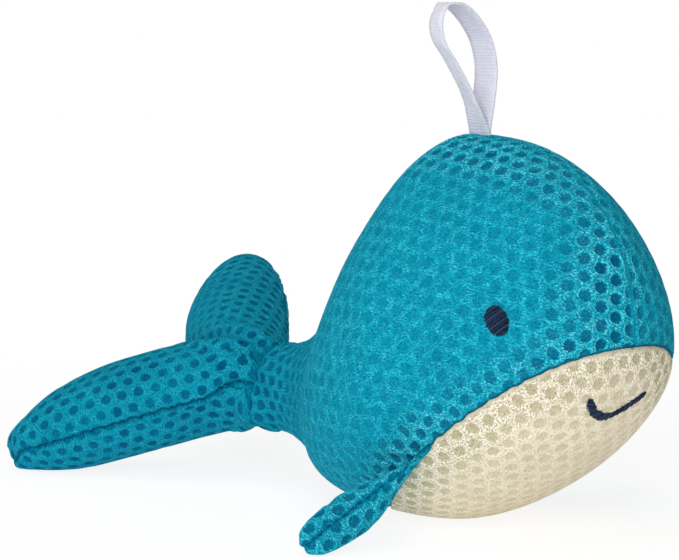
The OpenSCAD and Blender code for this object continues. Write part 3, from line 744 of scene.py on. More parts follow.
def sideShow(run, angle, toCrown, toBelly, fromCrease, mirrored):
    # how plainly the holes show: most at the front, the belly seam, the back and the crease
    show = 0.13 + 0.08 * smooth(run, 0.5, 0.75) + 0.08 * smooth(0.62 - run, 0, 0.25)
    front = smooth(run, 0.76, 0.86) * smooth(118 - angle, 0, 25)
    nearBelly = 0.95 - 0.35 * smooth(run, 0.62, 0.72) * smooth(0.9 - run, 0, 0.08)
    onBack = smooth(48 - angle, 0, 30) * smooth(run, 0.2, 0.4)
    for zone in (front * (0.5 + 0.45 * bell(toCrown - 7 * mm, 8 * mm)),
            0.8 * onBack * (1 - 0.3 * smooth(run, 0.6, 0.75)), nearBelly * bell(toBelly, 14 * mm),
            0.34 * smooth(0.42 - run, 0, 0.15), 0.85 * bell(fromCrease, 27 * mm)):
        show = np.maximum(show, zone)
    if mirrored:
        show = show * (1 - 0.6 * smooth(run, 0.6, 0.8) * smooth(toCrown, 0.5 * mm, 5 * mm))
    return show * smooth(np.minimum(np.minimum(toCrown, toBelly), fromCrease), 0.2 * mm, 1.3 * mm)


def sideCloth(name, mirrored, slip):
    p = sidePanel
    rows, cols = np.linspace(0, 1, p["rows"]), np.linspace(0, 1, p["cols"])
    run, angle, grid = sideGrid(rows, cols)
    a = np.radians(angle)
    normals = gridNormals(grid, (0, -1, 0))
    toCrown, fromCrease = arcs(grid, 1), arcs(grid, 0)
    toBelly = toCrown[:, -1:] - toCrown
    toSeam = np.minimum(toCrown, toBelly)
    dip = valley(toCrown, p["seamDepth"], p["seamWidth"])
    dip = dip + valley(toBelly, p["bellySeamDepth"], p["bellySeamWidth"])
    dip = np.minimum(dip, p["bellySeamDepth"] * 1.1)
    crease = valley(fromCrease, p["creaseDepth"], p["creaseWidth"]) * creaseShare(-np.cos(a))
    wave = a * p["pleats"] + 1.5 * np.sin(a * 3)
    pleat = np.sin(wave) * p["pleatHeight"] * fading(fromCrease, p["pleatReach"])
    pleat = pleat * smooth(fromCrease, 0.6 * mm, 4 * mm)
    # the tail's cloth stands fuller over the crease on its upper side
    fuller = p["backFullness"] * smooth(fromCrease, 0.6 * mm, 7 * mm) * bell(fromCrease, 16 * mm)
    pleat = pleat + fuller * smooth(np.cos(a), -0.3, 0.9)
    lump = wander(grid, p["lumpSize"], 11 + mirrored) * p["lumps"] * smooth(toSeam, 0, 9 * mm)
    outer = grid + normals * (-dip - crease + pleat + lump)[..., None] + gathered(grid)
    outer[..., 1] = np.minimum(outer[..., 1], -p["middleGap"])
    outer[..., 2] = np.maximum(outer[..., 2], p["floorGap"])
    inner = grid - normals * torso["meshThickness"] + gathered(grid)
    inner[..., 1] = np.minimum(inner[..., 1], -p["middleGap"])
    cloth = clothOver(lambda r, c: sideGrid(r, c, p["gather"])[2], rows, cols, (0.82, 0.3), (0.1, 0.0, 1.0),
        slip)
    show = sideShow(run, angle, toCrown, toBelly, fromCrease, mirrored)
    if mirrored:
        outer, inner = outer * flipY, inner * flipY
    # painted shade in the grooves of the crown and belly seams, the crease and the pleats' furrows
    seam = np.maximum(0.14 * bell(toCrown, 0.55 * mm), bell(toBelly, p["bellySeamWidth"]))
    seam = np.maximum(seam, bell(fromCrease, 1.2 * mm))
    furrow = np.clip(-np.sin(wave) - 0.2, 0, 1)
    seam = np.maximum(seam, 0.5 * furrow * fading(fromCrease, 9 * mm))
    # the stretched cloth of the tail and the back shows fine drawn lines
    uneven = wander(np.stack([run * 0.12, a * 0.03], -1), 30 * mm, 61)
    drawn = smooth(np.sin(a * p["drawnLines"] + 3 * uneven), 0.1, 0.9)
    drawn = drawn * (0.55 + 0.45 * wander(np.stack([run, a], -1) * 0.1, 9 * mm, 62))
    drawn = drawn * smooth(0.4 - run, 0, 0.22) * smooth(fromCrease, 2 * mm, 9 * mm)
    seam = np.maximum(seam, 0.5 * drawn * smooth(150 - angle, 0, 60))
    # the last value holds the painted highlights back near the crease
    obj = sewnSheet(name, outer, inner, cloth, show, seam, 0.7 * bell(fromCrease, 38 * mm))
    return perforated(obj, tealMesh)


rightSide = sideCloth("right_side_cloth", 0, (0.0, 0.0))
leftSide = sideCloth("left_side_cloth", 1, (1.3 * mm, 0.9 * mm))
print("torso sides sewn")


def bellyGrid(rows, cols):
    run = evenRuns(lambda t: torsoPoint(t, 180), rows, torso["bellyStart"] + 0.0002, runEnd)[:, None]
    start = seamAngle(run)
    angle = start + (360 - 2 * start) * cols[None, :]
    return run + 0 * angle, angle, torsoPoint(run, angle)


def bellyCloth():
    p = bellyPanel
    rows, cols = np.linspace(0, 1, p["rows"]), np.linspace(0, 1, p["cols"])
    run, angle, grid = bellyGrid(rows, cols)
    normals = torsoNormal(run, angle)
    across = arcs(grid, 1)
    toSeam = np.minimum(across, across[:, -1:] - across)
    dip = valley(toSeam, p["seamDepth"], p["seamWidth"])
    lump = wander(grid, p["lumpSize"], 21) * p["lumps"] * smooth(toSeam, 0, 8 * mm)
    outer = grid + normals * (lump - dip)[..., None]
    outer[..., 2] = np.maximum(outer[..., 2], 0)
    inner = grid - normals * torso["meshThickness"]
    cloth = clothOver(lambda r, c: bellyGrid(r, c)[2], rows, cols, (0.7, 0.45), (-0.5, -1.0, 0.35),
        (0.4 * mm, 0))
    show = 0.3 + 0.68 * bell(toSeam, 15 * mm) + 0.1 * wander(grid, 22 * mm, 23)
    show = show * smooth(toSeam, 0.2 * mm, 1.3 * mm)
    # the belly's seam attribute is painted shade along the seam's groove
    obj = sewnSheet("belly_cloth", outer, inner, cloth, show, 0.8 * bell(toSeam, 0.45 * mm), 0 * show)
    return perforated(obj, creamMesh, p["holeDepthShare"])


belly = bellyCloth()
print("belly sewn")

# Flukes
flukes = {
    "reach": 72 * mm, "halfSpan": 51 * mm, "notch": 32.5 * mm, "thickness": 27.4 * mm, "ringShare": 0.3,
    "curl": 1 * mm, "farCurl": 2.6, "nearDrop": 2.7 * mm, "seamRise": 3.4 * mm, "underRise": 4.6 * mm,
    "seamTurn": 30, "roll": 26, "rows": 289, "cols": 113, "seamDepth": 1.2 * mm, "seamWidth": 0.8 * mm,
    "seamWander": 0.42 * mm, "creaseWidth": 1.5 * mm, "tuck": 1.1 * mm, "pucker": 0.5 * mm,
    "puckerEvery": 5.4 * mm, "puckerReach": 2.6 * mm, "pleats": 17, "pleatHeight": 0.35 * mm,
    "lumps": 0.25 * mm, "lumpSize": 26 * mm, "floorLevel": 0.15 * mm, "floorSoftness": 0.35 * mm,
    "holeDepthShare": 0.8,
}


def flukePoint(t, s):
    # t from one tip (-1) to the other (1), s from the leading to the trailing edge
    # the upper half, before its roll
    t, s = np.broadcast_arrays(np.asarray(t, float), np.asarray(s, float))
    f, r = flukes, torso["creaseRadius"]
    m, side = np.abs(t), np.where(t < 0, -1, 1)
    inMiddle = m < f["ringShare"]
    q = np.clip((m - f["ringShare"]) / (1 - f["ringShare"]), 0, 1)
    turn = pi / 2 * np.minimum(1, m / f["ringShare"])
    lead = cubic([(0, r), (f["reach"] * 0.323, f["halfSpan"] * 0.424),
        (f["reach"] * 0.721, f["halfSpan"] * 1.347), (f["reach"], f["halfSpan"])], q)
    ring = np.stack([0 * m, r * np.sin(turn)], -1)
    lead = np.where(inMiddle[..., None], ring, lead)
    trail = cubic([(f["notch"], 0), (f["notch"] * 1.36, f["halfSpan"] * 0.012),
        (f["reach"] * 1.04, f["halfSpan"] * 0.444), (f["reach"], f["halfSpan"])], m)
    fromZ = np.where(inMiddle, r * np.cos(turn), 0)
    fat = np.where(inMiddle, 0.6 + 0.4 * np.sin(turn), 1) * np.sqrt(np.maximum(1 - m ** 3, 0))
    fat = fat * (1 + 0.127 * np.sin(pi * m)) * (1 + 0.07 * (t < 0) * bell(m - 0.7, 0.2))
    w = (1 - np.cos(pi * s)) / 2
    p = lead + (trail - lead) * w[..., None]
    z = fromZ * (1 - w) + f["thickness"] / 2 * fat * np.sin(pi * s)
    return np.stack([-p[..., 0], side * p[..., 1], z], -1), f["curl"] * (p[..., 1] / f["halfSpan"]) ** 2


def flukeGrid(rows, cols, flip):
    f = flukes
    t = evenRuns(lambda t: flukePoint(t, 0.5)[0], rows, -0.9985, 0.9985)[:, None]
    grid, lift = flukePoint(t, cols[None, :])
    grid = grid * (1, 1, -1 if flip else 1)
    grid[..., 2] += lift * np.where(t > 0, 1 + f["farCurl"], 1) - f["nearDrop"] * smooth(-t, 0.6, 0.95)
    away = np.linalg.norm(grid, axis=-1)
    rise = f["seamRise"] * smooth(away, 10 * mm, 19 * mm) * (1 - 1.5 * smooth(-t, 0.84, 0.96))
    rise = rise * smooth(1 + t, 0, 0.07)
    grid[..., 2] += rise * (t < 0) * smooth(0.55 - cols[None, :], 0, 0.55)
    # the near seam meets the crease higher up than the roll alone would put it
    turned = smooth(-t, 0, 0.3) * smooth(20 * mm - away, 0, 10 * mm)
    a = radians(f["roll"]) - radians(f["seamTurn"]) * turned
    x, y, z = np.moveaxis(grid, -1, 0)
    rolled = np.stack([x, y * np.cos(a) - z * np.sin(a), y * np.sin(a) + z * np.cos(a)], -1)
    return t + 0 * cols[None, :], rolled + (creaseX, 0, torso["creaseZ"])


def flukeCloth(name, flip, slip):
    f = flukes
    rows, cols = np.linspace(0, 1, f["rows"]), np.linspace(0, 1, f["cols"])
    t, grid = flukeGrid(rows, cols, flip)
    plate = np.array((0, -sin(radians(f["roll"])), cos(radians(f["roll"]))))
    normals = gridNormals(grid, -plate if flip else plate)
    toLead, along = arcs(grid, 1), arcs(grid, 0)
    toTrail = toLead[:, -1:] - toLead
    toEdge = np.minimum(toLead, toTrail)
    onRing = smooth(f["ringShare"] + 0.025 - np.abs(t), 0, 0.03)
    offRing = 1 - onRing
    # at a seam both layers turn in towards each other's edge
    level = (normals @ plate)[..., None] * plate
    normals = unit(normals - level * (bell(toEdge, 1.2 * mm) * offRing)[..., None])
    tip = np.minimum(along, along[-1:] - along)
    dip = valley(toTrail, f["seamDepth"], f["seamWidth"])
    dip = dip + valley(toLead, f["seamDepth"], f["seamWidth"]) * offRing
    dip = dip * smooth(tip, -0.5 * mm, 3 * mm)
    fromAxis = unit((grid - (creaseX, 0, torso["creaseZ"])) * (0, 1, 1))
    cinch = onRing * valley(toLead, sidePanel["creaseDepth"], f["creaseWidth"])
    cinch = fromAxis * (cinch * creaseShare(-fromAxis[..., 2]))[..., None]
    edgeRun = np.where(toLead < toTrail, along[:, :1], along[:, -1:])
    phase = edgeRun / f["puckerEvery"] * 2 * pi
    pucker = drawnOff(phase, 1.3, 0.37) * fading(toEdge, f["puckerReach"]) * smooth(toEdge, 0, 0.9 * mm)
    pleat = np.sin(t / f["ringShare"] * pi / 2 * f["pleats"] + (1 if flip else 0)) * f["pleatHeight"] * onRing
    pleat = pleat * fading(toLead, 6 * mm) * smooth(toLead, 0.3 * mm, 2 * mm)
    lump = wander(grid, f["lumpSize"], 31 + flip) * f["lumps"] * smooth(toEdge, 0, 7 * mm)
    if flip:  # the underside runs on into the tail with hardly a step
        underTail = smooth(0.34 - np.abs(t), 0, 0.12)
        rise = smooth(toLead, 0, 2.6 * mm) * underTail + smooth(toLead, 0.8 * mm, 6 * mm) * (1 - underTail)
        rise = rise * (1 - smooth(toLead, 4 * mm, 29 * mm)) * smooth(0.6 - np.abs(t), 0, 0.3)
        grid = grid + plate * (f["underRise"] * rise)[..., None]
    # the seam's line is drawn to and fro by its stitches, and the middle is tucked under the tail's edge
    ragged = np.sin(edgeRun * 2 * pi / (3.1 * mm) + 1.7 * np.sin(edgeRun * 2 * pi / (8.3 * mm)))
    ragged = f["seamWander"] * ragged * fading(toEdge, 1.5 * mm) * smooth(tip, 0, 5 * mm)
    meeting = (0.08 if flip else -0.08) * mm * bell(toEdge, 0.4 * mm)
    tuck = np.array((f["tuck"], 0, 0)) * (onRing * bell(toLead, 0.8 * mm))[..., None]
    grid = grid + tuck + plate * ((ragged + meeting) * offRing)[..., None] + gathered(grid)
    outer = grid + normals * (pleat + lump + pucker * f["pucker"] * offRing - dip)[..., None] - cinch
    thin = np.minimum(torso["meshThickness"], np.maximum(toEdge, 0.4 * mm)) * 0.9
    depth = np.maximum(thin, 0.35 * mm + dip) - np.minimum(lump, 0)
    inner = grid - normals * depth[..., None] - cinch * 1.4
    # the near tip lies pressed flat on the floor
    soft, floorZ = f["floorSoftness"], f["floorLevel"]
    onFloor = soft * np.log1p(np.exp((outer[..., 2] - floorZ) / soft)) + floorZ - outer[..., 2]
    outer[..., 2] += onFloor
    inner[..., 2] += onFloor
    cloth = clothOver(lambda r, c: flukeGrid(r, c, flip)[1], rows, cols, (0.3, 0.5), (1.0, 1.0, -0.4), slip)
    show = (0.76 + 0.2 * wander(grid, 24 * mm, 51 + flip)) * smooth(toEdge, 0.2 * mm, 1.2 * mm)
    show = show * (1 - onRing * (1 - smooth(toLead, 1 * mm, 6 * mm)) * 0.7)
    farSide = smooth(t, 0.1, 0.35) * smooth(0.85 - t, 0, 0.35) * smooth(cols[None, :], 0.35, 0.7)
    show = np.clip(show * (1 - 0.6 * farSide), 0, 1)
    # painted shade along the seams, the crease at the tail and the pleats' furrows
    seam = bell(toEdge, 0.75 * mm) * (1 - 0.35 * (0.5 + 0.5 * np.sin(phase * 1.7)))
    seam = np.maximum(seam, onRing * bell(toLead, 1.1 * mm))
    seam = np.maximum(seam, 0.4 * np.clip(-pleat / f["pleatHeight"], 0, 1))
    obj = sewnSheet(name, outer, inner, cloth, show, seam, 0 * show)
    return perforated(obj, tailMesh, f["holeDepthShare"], airMesh["tailHoleRadius"])


flukeTop = flukeCloth("fluke_top_cloth", False, (0.7 * mm, 0.2 * mm))
flukeUnder = flukeCloth("fluke_bottom_cloth", True, (0.1 * mm, 1.9 * mm))
print("flukes sewn")

# Flippers
flippers = {
    "length": 38.5 * mm, "chord": 20 * mm, "thickness": 12.2 * mm, "rightLift": 27, "leftLift": 73,
    "frontShare": 0.663, "backShare": 0.563, "hingeGap": 0.2 * mm, "rootGap": 0.2 * mm,
    "seamGap": 0.04 * mm, "frontCorner": 1.3 * mm, "rootOver": 0.9 * mm, "rootSunk": 1.4 * mm,
    "frontSunk": 2.0 * mm,
    "rows": 129, "cols": 97, "seamDepth": 0.8 * mm, "seamWidth": 0.75 * mm, "seamWander": 0.2 * mm,
    "pucker": 0.3 * mm, "puckerEvery": 4.3 * mm, "puckerReach": 2.0 * mm, "foldEvery": 2.6 * mm,
    "foldHeight": 0.25 * mm,
}


def seamPoint(run):
    return drawnPoint(run, drawnSeam(run))


def rootFrame():
    # the hinge's place, and the ways along the belly seam, out from the torso and over them both
    front, back = seamPoint(flippers["frontShare"]), seamPoint(flippers["backShare"])
    middle = (flippers["frontShare"] + flippers["backShare"]) / 2
    chordWay = unit(back - front)
    seamOut = torsoNormal(middle, drawnSeam(middle), drawnPoint)
    outWay = unit(seamOut - chordWay * (seamOut @ chordWay))
    bow = np.linalg.norm(seamPoint(middle) - (front + back) / 2)
    return front + outWay * (bow + flippers["hingeGap"]), chordWay, outWay, np.cross(chordWay, outWay)


hinge, chordWay, outWay, overWay = rootFrame()


def liftedWays(lift):
    # out along the flipper, and square to its face
    a = radians(lift)
    return outWay * cos(a) + overWay * sin(a), overWay * cos(a) - outWay * sin(a)


def flipperGrid(rows, cols, flip, lift):
    f = flippers
    t, s = (rows * 0.998)[:, None], cols[None, :]
    spanWay, faceWay = liftedWays(lift)
    lead = cubic([(0, 0), (0.28, 0.2), (0.48, 0.98), (0.83, 1)], t)
    trail = cubic([(1, 0), (1.06, 0.293), (0.88, 0.715), (0.83, 1)], t)
    # the front corner runs up along the belly seam, and the root lies over it
    start = lead[..., 0] * f["chord"] - f["frontCorner"] * fading(t, 0.12)
    end = trail[..., 0] * f["chord"]
    over = f["rootOver"] * fading(t, 0.12)
    span = (lead[..., 1] + trail[..., 1]) / 2 * f["length"]
    tilt = (trail[..., 1] - lead[..., 1]) / 2 * f["length"]
    swell = np.sin(np.radians(np.minimum(90, t * 165))) ** 1.6
    fat = (0.05 + 0.95 * swell) * np.sqrt(1 - t ** 5)
    across = -np.cos(pi * s)
    c = (start + end) / 2 + across * (end - start) / 2
    z = f["seamGap"] / 2 + f["thickness"] / 2 * fat * np.sin(pi * s)
    sunk = fading(t, 0.08) * (f["rootSunk"] + f["frontSunk"] * smooth(-across, 0, 1))
    out = f["rootGap"] + span + tilt * across - sunk
    return (hinge + chordWay * c[..., None] + spanWay * out[..., None]
        + faceWay * (over + (-z if flip else z))[..., None]), faceWay


def flipperCloth(name, flip, lift, mirrored, slip):
    f = flippers
    shares, cols = np.linspace(0, 1, f["rows"]), np.linspace(0, 1, f["cols"])
    rows = evenRuns(lambda t: flipperGrid(t, np.array([0.5]), flip, lift)[0][:, 0], shares, 0, 1)
    grid, faceWay = flipperGrid(rows, cols, flip, lift)
    normals = gridNormals(grid, -faceWay if flip else faceWay)
    across, along = arcs(grid, 1), arcs(grid, 0)
    toSides = np.minimum(across, across[:, -1:] - across)
    toEdge = np.minimum(toSides, along[-1:] - along + 0.3 * mm)
    edgeRun = np.where(cols[None, :] < 0.5, along[:, :1], along[:, -1:])
    phase = edgeRun / f["puckerEvery"] * 2 * pi
    pucker = drawnOff(phase, 1.1, 0.41) * fading(toEdge, f["puckerReach"]) * smooth(toEdge, 0, 0.8 * mm)
    pucker = f["pucker"] * pucker * smooth(along, 1 * mm, 5 * mm)
    fold = np.sin(across / f["foldEvery"] * 2 * pi) * f["foldHeight"] * fading(along, 5 * mm)
    fold = fold * smooth(along, 0, 2 * mm)
    dip = valley(toEdge, f["seamDepth"], f["seamWidth"]) * smooth(along, 0, 3 * mm)
    ragged = np.sin(edgeRun * 2 * pi / (4.1 * mm) + 1.5 * np.sin(edgeRun * 2 * pi / (7.1 * mm)))
    ragged = f["seamWander"] * ragged * fading(toEdge, 1.3 * mm) * smooth(along, 2 * mm, 6 * mm)
    grid = grid + faceWay * ragged[..., None]
    outer = grid + normals * (pucker + fold - dip)[..., None]
    back = np.minimum(1.4 * mm, 0.3 * mm + np.abs((grid - hinge) @ faceWay) * 0.6)
    back = back * smooth(toEdge, -1 * mm, 2 * mm) + np.maximum(dip, 0.12 * mm)
    inner = grid - normals * back[..., None]
    cloth = clothOver(lambda r, c: flipperGrid(np.interp(r, shares, rows), c, flip, lift)[0], shares, cols,
        (0.5, 0.5), tuple(outWay), slip)
    show = 0.74 * smooth(toEdge, 0.2 * mm, 1.1 * mm) * smooth(along, 0.5 * mm, 4 * mm)
    if mirrored:
        outer, inner = outer * flipY, inner * flipY
    # painted shade along the seam
    seam = bell(toEdge, 0.6 * mm) * (1 - 0.4 * (0.5 + 0.5 * np.sin(phase * 1.6)))
    obj = sewnSheet(name, outer, inner, cloth, show, seam, 0.2 + 0 * show)
    return perforated(obj, tealMesh)


flipperPieces = {}
for side, mirrored, lift in (("right", False, flippers["rightLift"]), ("left", True, flippers["leftLift"])):
    for part, flip, slip in (("upper", False, (0.9 * mm, 0.3 * mm)), ("lower", True, (0.2 * mm, 1.4 * mm))):
        flipperPieces[side, part] = flipperCloth(f"{side}_flipper_{part}_cloth", flip, lift, mirrored, slip)
print("flippers sewn")

# Embroidery: satin stitches laid side by side over a thin pad
embroidery = {
    "eyeWidth": 5.3 * mm, "eyeHeight": 7.9 * mm, "eyeRise": 0.42 * mm, "eyeRun": 0.764, "eyeAngle": 81.63,
    "lean": 0.3, "slant": 38, "threadGap": 0.29 * mm, "threadRadius": 0.17 * mm, "arch": 0.3 * mm,
    "smileWidth": 1.9 * mm, "smileRise": 0.12 * mm,
    "smileRuns": (0.9006, 0.892, 0.8845, 0.8819, 0.8859, 0.893, 0.902, 0.9068, 0.9089),
    "smileAngles": (147.3, 153.8, 161.9, 169.7, 175.4, 181, 188.5, 195, 203.3),
    "smileAlong": (0, 0.04, 0.1, 0.28, 0.45, 0.6, 0.8, 0.96, 1),
    "smileShares": (0.6, 0.95, 1.15, 1.3, 1.05, 1.05, 1.3, 1.2, 0.8),
}
satin, given, result = newModifier("satinStitches", ("Thread radius", "Arch"))
reach = stored(satin, "reach")
isStitch = calc(satin, "GREATER_THAN", reach, 0.0)
peak = put(satin, "ShaderNodeCombineXYZ", Z=given["Arch"]).outputs[0]
arch = put(satin, "GeometryNodeCurveQuadraticBezier", Resolution=6, Start=(-1, 0, 0), Middle=peak,
    End=(1, 0, 0)).outputs[0]
ring = put(satin, "GeometryNodeCurvePrimitiveCircle", Resolution=6, Radius=given["Thread radius"]).outputs[0]
thread = put(satin, "GeometryNodeCurveToMesh", Curve=arch, Profile_Curve=ring, Fill_Caps=True).outputs[0]
turnTo = put(satin, "FunctionNodeAxesToRotation", {"primary_axis": "X", "secondary_axis": "Z"},
    at0=stored(satin, "across", "FLOAT_VECTOR"), at1=stored(satin, "outward", "FLOAT_VECTOR")).outputs[0]
threadLength = put(satin, "ShaderNodeCombineXYZ", X=reach, Y=1.0, Z=1.0).outputs[0]
laid = put(satin, "GeometryNodeInstanceOnPoints", Points=given["Geometry"], Selection=isStitch,
    Instance=thread, Rotation=turnTo, Scale=threadLength).outputs[0]
# each thread's random share of the painted highlight
shade = put(satin, "FunctionNodeRandomValue", {"data_type": "FLOAT"}, Seed=7).outputs[1]
laid = put(satin, "GeometryNodeStoreNamedAttribute", {"data_type": "FLOAT", "domain": "INSTANCE"},
    Geometry=laid, Name="thread", Value=shade).outputs[0]
pad = put(satin, "GeometryNodeDeleteGeometry", Geometry=given["Geometry"], Selection=isStitch).outputs[0]
both = satin.nodes.new("GeometryNodeJoinGeometry")
satin.links.new(laid, both.inputs[0])
satin.links.new(pad, both.inputs[0])
closed(satin, both.outputs[0], given, result)


def stitched(name, padPoints, padFaces, spots, ways, outs, reaches):
    onPad = np.zeros((len(padPoints), 3))
    obj = makeMesh(name, np.concatenate([padPoints, spots]), padFaces, (
        ("across", "FLOAT_VECTOR", np.concatenate([onPad, ways])),
        ("outward", "FLOAT_VECTOR", np.concatenate([onPad, outs])),
        ("reach", "FLOAT", np.concatenate([onPad[:, 0], reaches]))))
    return finished(obj, satin, {"Thread radius": embroidery["threadRadius"], "Arch": embroidery["arch"],
        "Material": threadNavy})


def eye(name, mirrored):
    e = embroidery
    rng = np.random.default_rng(5 + mirrored)
    at, out = (f(np.array(e["eyeRun"]), np.array(e["eyeAngle"])) for f in (torsoPoint, torsoNormal))
    along = unit(np.cross((0, 0, 1), out))
    up = np.cross(out, along)
    a, b, tilt = e["eyeWidth"] / 2, e["eyeHeight"] / 2, radians(e["slant"])
    stitchWay, stepWay = np.array((cos(tilt), sin(tilt))), np.array((-sin(tilt), cos(tilt)))
    far = sqrt((a * stepWay[0]) ** 2 + (b * stepWay[1]) ** 2)

    def lifted(x, y, rise):
        x = x - e["lean"] * y
        sag = (x * x + y * y) / torso["width"]
        return at + along * x + up * y + out * (rise - sag)
    spots, reaches = [], []
    for q in np.arange(-far + 0.15 * mm, far - 0.1 * mm, e["threadGap"]):
        # chord of the ellipse along the stitches' direction
        qa = (stitchWay[0] / a) ** 2 + (stitchWay[1] / b) ** 2
        qb = 2 * q * (stitchWay[0] * stepWay[0] / a ** 2 + stitchWay[1] * stepWay[1] / b ** 2)
        qc = q * q * ((stepWay[0] / a) ** 2 + (stepWay[1] / b) ** 2) - 1
        root = sqrt(max(qb * qb - 4 * qa * qc, 0))
        mid = -qb / (2 * qa) + rng.uniform(-0.15, 0.15) * mm
        half = root / (2 * qa) + rng.uniform(-0.12, 0.22) * mm
        spot = stitchWay * mid + stepWay * q
        spots.append(lifted(spot[0], spot[1], 0.15 * mm + e["eyeRise"] * (1 - (q / far) ** 2) * 0.6))
        reaches.append(max(half, 0.3 * mm))
    # the pad: four rings, a point on top and one underneath
    padRise, around, turns = 0.05 * mm, 24, np.linspace(0, 2 * pi, 25)[:-1]
    rings = [lifted(cos(v) * a * 0.93 * share, sin(v) * b * 0.93 * share,
        padRise + e["eyeRise"] * (1 - share ** 2)) for share in (1.0, 0.8, 0.55, 0.25) for v in turns]
    pad = np.array(rings + [lifted(0, 0, padRise + e["eyeRise"]), lifted(0, 0, -1 * mm)])
    faces, top = tubeFaces(4, around, False), 3 * around
    faces += [(top + j, top + (j + 1) % around, 4 * around) for j in range(around)]
    faces += [((j + 1) % around, j, 4 * around + 1) for j in range(around)]
    spots, ways = np.array(spots), np.tile(along * stitchWay[0] + up * stitchWay[1], (len(spots), 1))
    outs = np.tile(out, (len(spots), 1))
    if mirrored:
        pad, spots, ways, outs = (v * flipY for v in (pad, spots, ways, outs))
        faces = [f[::-1] for f in faces]
    return stitched(name, pad, faces, spots, ways, outs, np.array(reaches))


def smile():
    e = embroidery
    rng = np.random.default_rng(9)

    def at(s, where=torsoPoint):
        return where(spline(e["smileRuns"], s), spline(e["smileAngles"], s))
    s = evenly(at, 60, 0.0, 1.0)
    spots, outs = at(s), at(s, torsoNormal)
    ahead = unit(at(s + 0.01) - at(s - 0.01))
    across = unit(np.cross(outs, ahead))
    width = e["smileWidth"] * np.interp(s, e["smileAlong"], e["smileShares"]) / 2
    ways = unit(across * 0.82 + ahead * 0.57)
    reaches = width * 1.1 * rng.uniform(0.72, 1.32, len(s))
    spots = spots + outs * e["smileRise"] + across * rng.uniform(-0.16, 0.16, (len(s), 1)) * mm
    around = 8
    ring = np.linspace(0, 2 * pi, around + 1)[:-1]
    pad = np.concatenate([p + np.outer(np.cos(ring) * w * 0.8, c) + np.outer(np.sin(ring) * 0.2 * mm, o)
        for p, w, c, o in zip(spots, width, across, outs)])
    return stitched("smile_stitches", pad, tubeFaces(len(s), around), spots, ways, outs, reaches)


rightEye, leftEye = eye("right_eye_stitches", False), eye("left_eye_stitches", True)
smileStitches = smile()
print("embroidery stitched")

# Hanging loop: grosgrain ribbon
ribbon = {
    "height": 34.5 * mm, "width": 7.8 * mm, "thickness": 0.7 * mm, "edge": 0.1 * mm, "ribEvery": 0.9 * mm,
    "ribHeight": 0.045 * mm, "nearTwist": -19, "farTwist": 6,
    "x": torso["faceReach"] * -0.054, "z": torso["height"] + 1.05 * mm,
    "rootSunk": 1.6 * mm, "steps": 880,
    "path": ((0, 0), (-0.15, 0.3), (-0.32, 0.54), (-0.45, 0.7), (-0.48, 0.85), (-0.42, 0.96), (-0.32, 0.99),
        (-0.2, 0.93), (-0.08, 0.82), (0.01, 0.69), (0.06, 0.52), (0.055, 0.34), (0, 0)),
}
grosgrain, given, result = newModifier("grosgrainRibs", ("Rib every", "Rib height"))
ribs = times(grosgrain, calc(grosgrain, "DIVIDE", stored(grosgrain, "along"), given["Rib every"]), 2 * pi)
ribs = times(grosgrain, calc(grosgrain, "SINE", ribs), given["Rib height"])
closed(grosgrain, pushed(grosgrain, given["Geometry"], ribs), given, result)


def ribbonProfile():
    w, t, edge = ribbon["width"] / 2, ribbon["thickness"] / 2, ribbon["width"] / 2 - ribbon["edge"]
    return [(-edge, -t), (-w / 2, -t), (0, -t), (w / 2, -t), (edge, -t), (w, -t / 2), (w, t / 2),
        (edge, t), (w / 2, t), (0, t), (-w / 2, t), (-edge, t), (-w, t / 2), (-w, -t / 2)]


def hangingLoop():
    r = ribbon
    s = evenly(lambda t: spline(r["path"], t), r["steps"], 0, 1)
    toRoot = np.minimum(s, 1 - s)
    mid = spline(r["path"], s) * r["height"]
    mid[:, 1] -= r["rootSunk"] * fading(toRoot, 0.012)
    ahead = unit(np.gradient(mid, axis=0))
    # the band is turned a little where it leaves the seam, one way on each leg
    turn = np.where(s < 0.5, r["nearTwist"], r["farTwist"]) * smooth(toRoot, 0, 0.07)
    turn = np.radians(turn * smooth(np.abs(ahead[:, 1]), 0.1, 0.8))[:, None]
    none = np.zeros(len(mid))
    flat = np.stack([none, -ahead[:, 1], ahead[:, 0]], -1)
    forward = np.stack([none, ahead[:, 0], ahead[:, 1]], -1)
    wide = np.cos(turn) * np.array((1, 0, 0)) + np.sin(turn) * np.sign(forward[:, 2:3]) * -flat
    thick = np.cross(forward, wide)
    thick = thick * np.sign((thick * flat).sum(1, keepdims=True))
    middle = np.stack([none + r["x"] + torso["middleX"], mid[:, 0], r["z"] + mid[:, 1]], -1)
    profile = ribbonProfile()
    points = np.concatenate([[m + a * x + b * q for x, q in profile] for m, a, b in zip(middle, wide, thick)])
    obj = makeMesh("ribbon_loop", points, tubeFaces(r["steps"], len(profile)),
        (("along", "FLOAT", np.repeat(lengths(mid), len(profile))),))
    outwards(obj)
    return finished(obj, grosgrain, {"Rib every": r["ribEvery"], "Rib height": r["ribHeight"],
        "Material": ribbonWhite})


loop = hangingLoop()
print("ribbon looped")

# Fillings: tufted fibre in the space of each filling's solid
fibre = {
    "torsoVoxel": 1.5 * mm, "torsoTuft": 0.5 * mm, "flipperVoxel": 0.8 * mm, "flipperTuft": 0.15 * mm,
    "lumpSize": 9 * mm, "flukeDeep": 5.8 * mm, "flukeTufts": 0.12, "flukeLumpSize": 8 * mm,
}


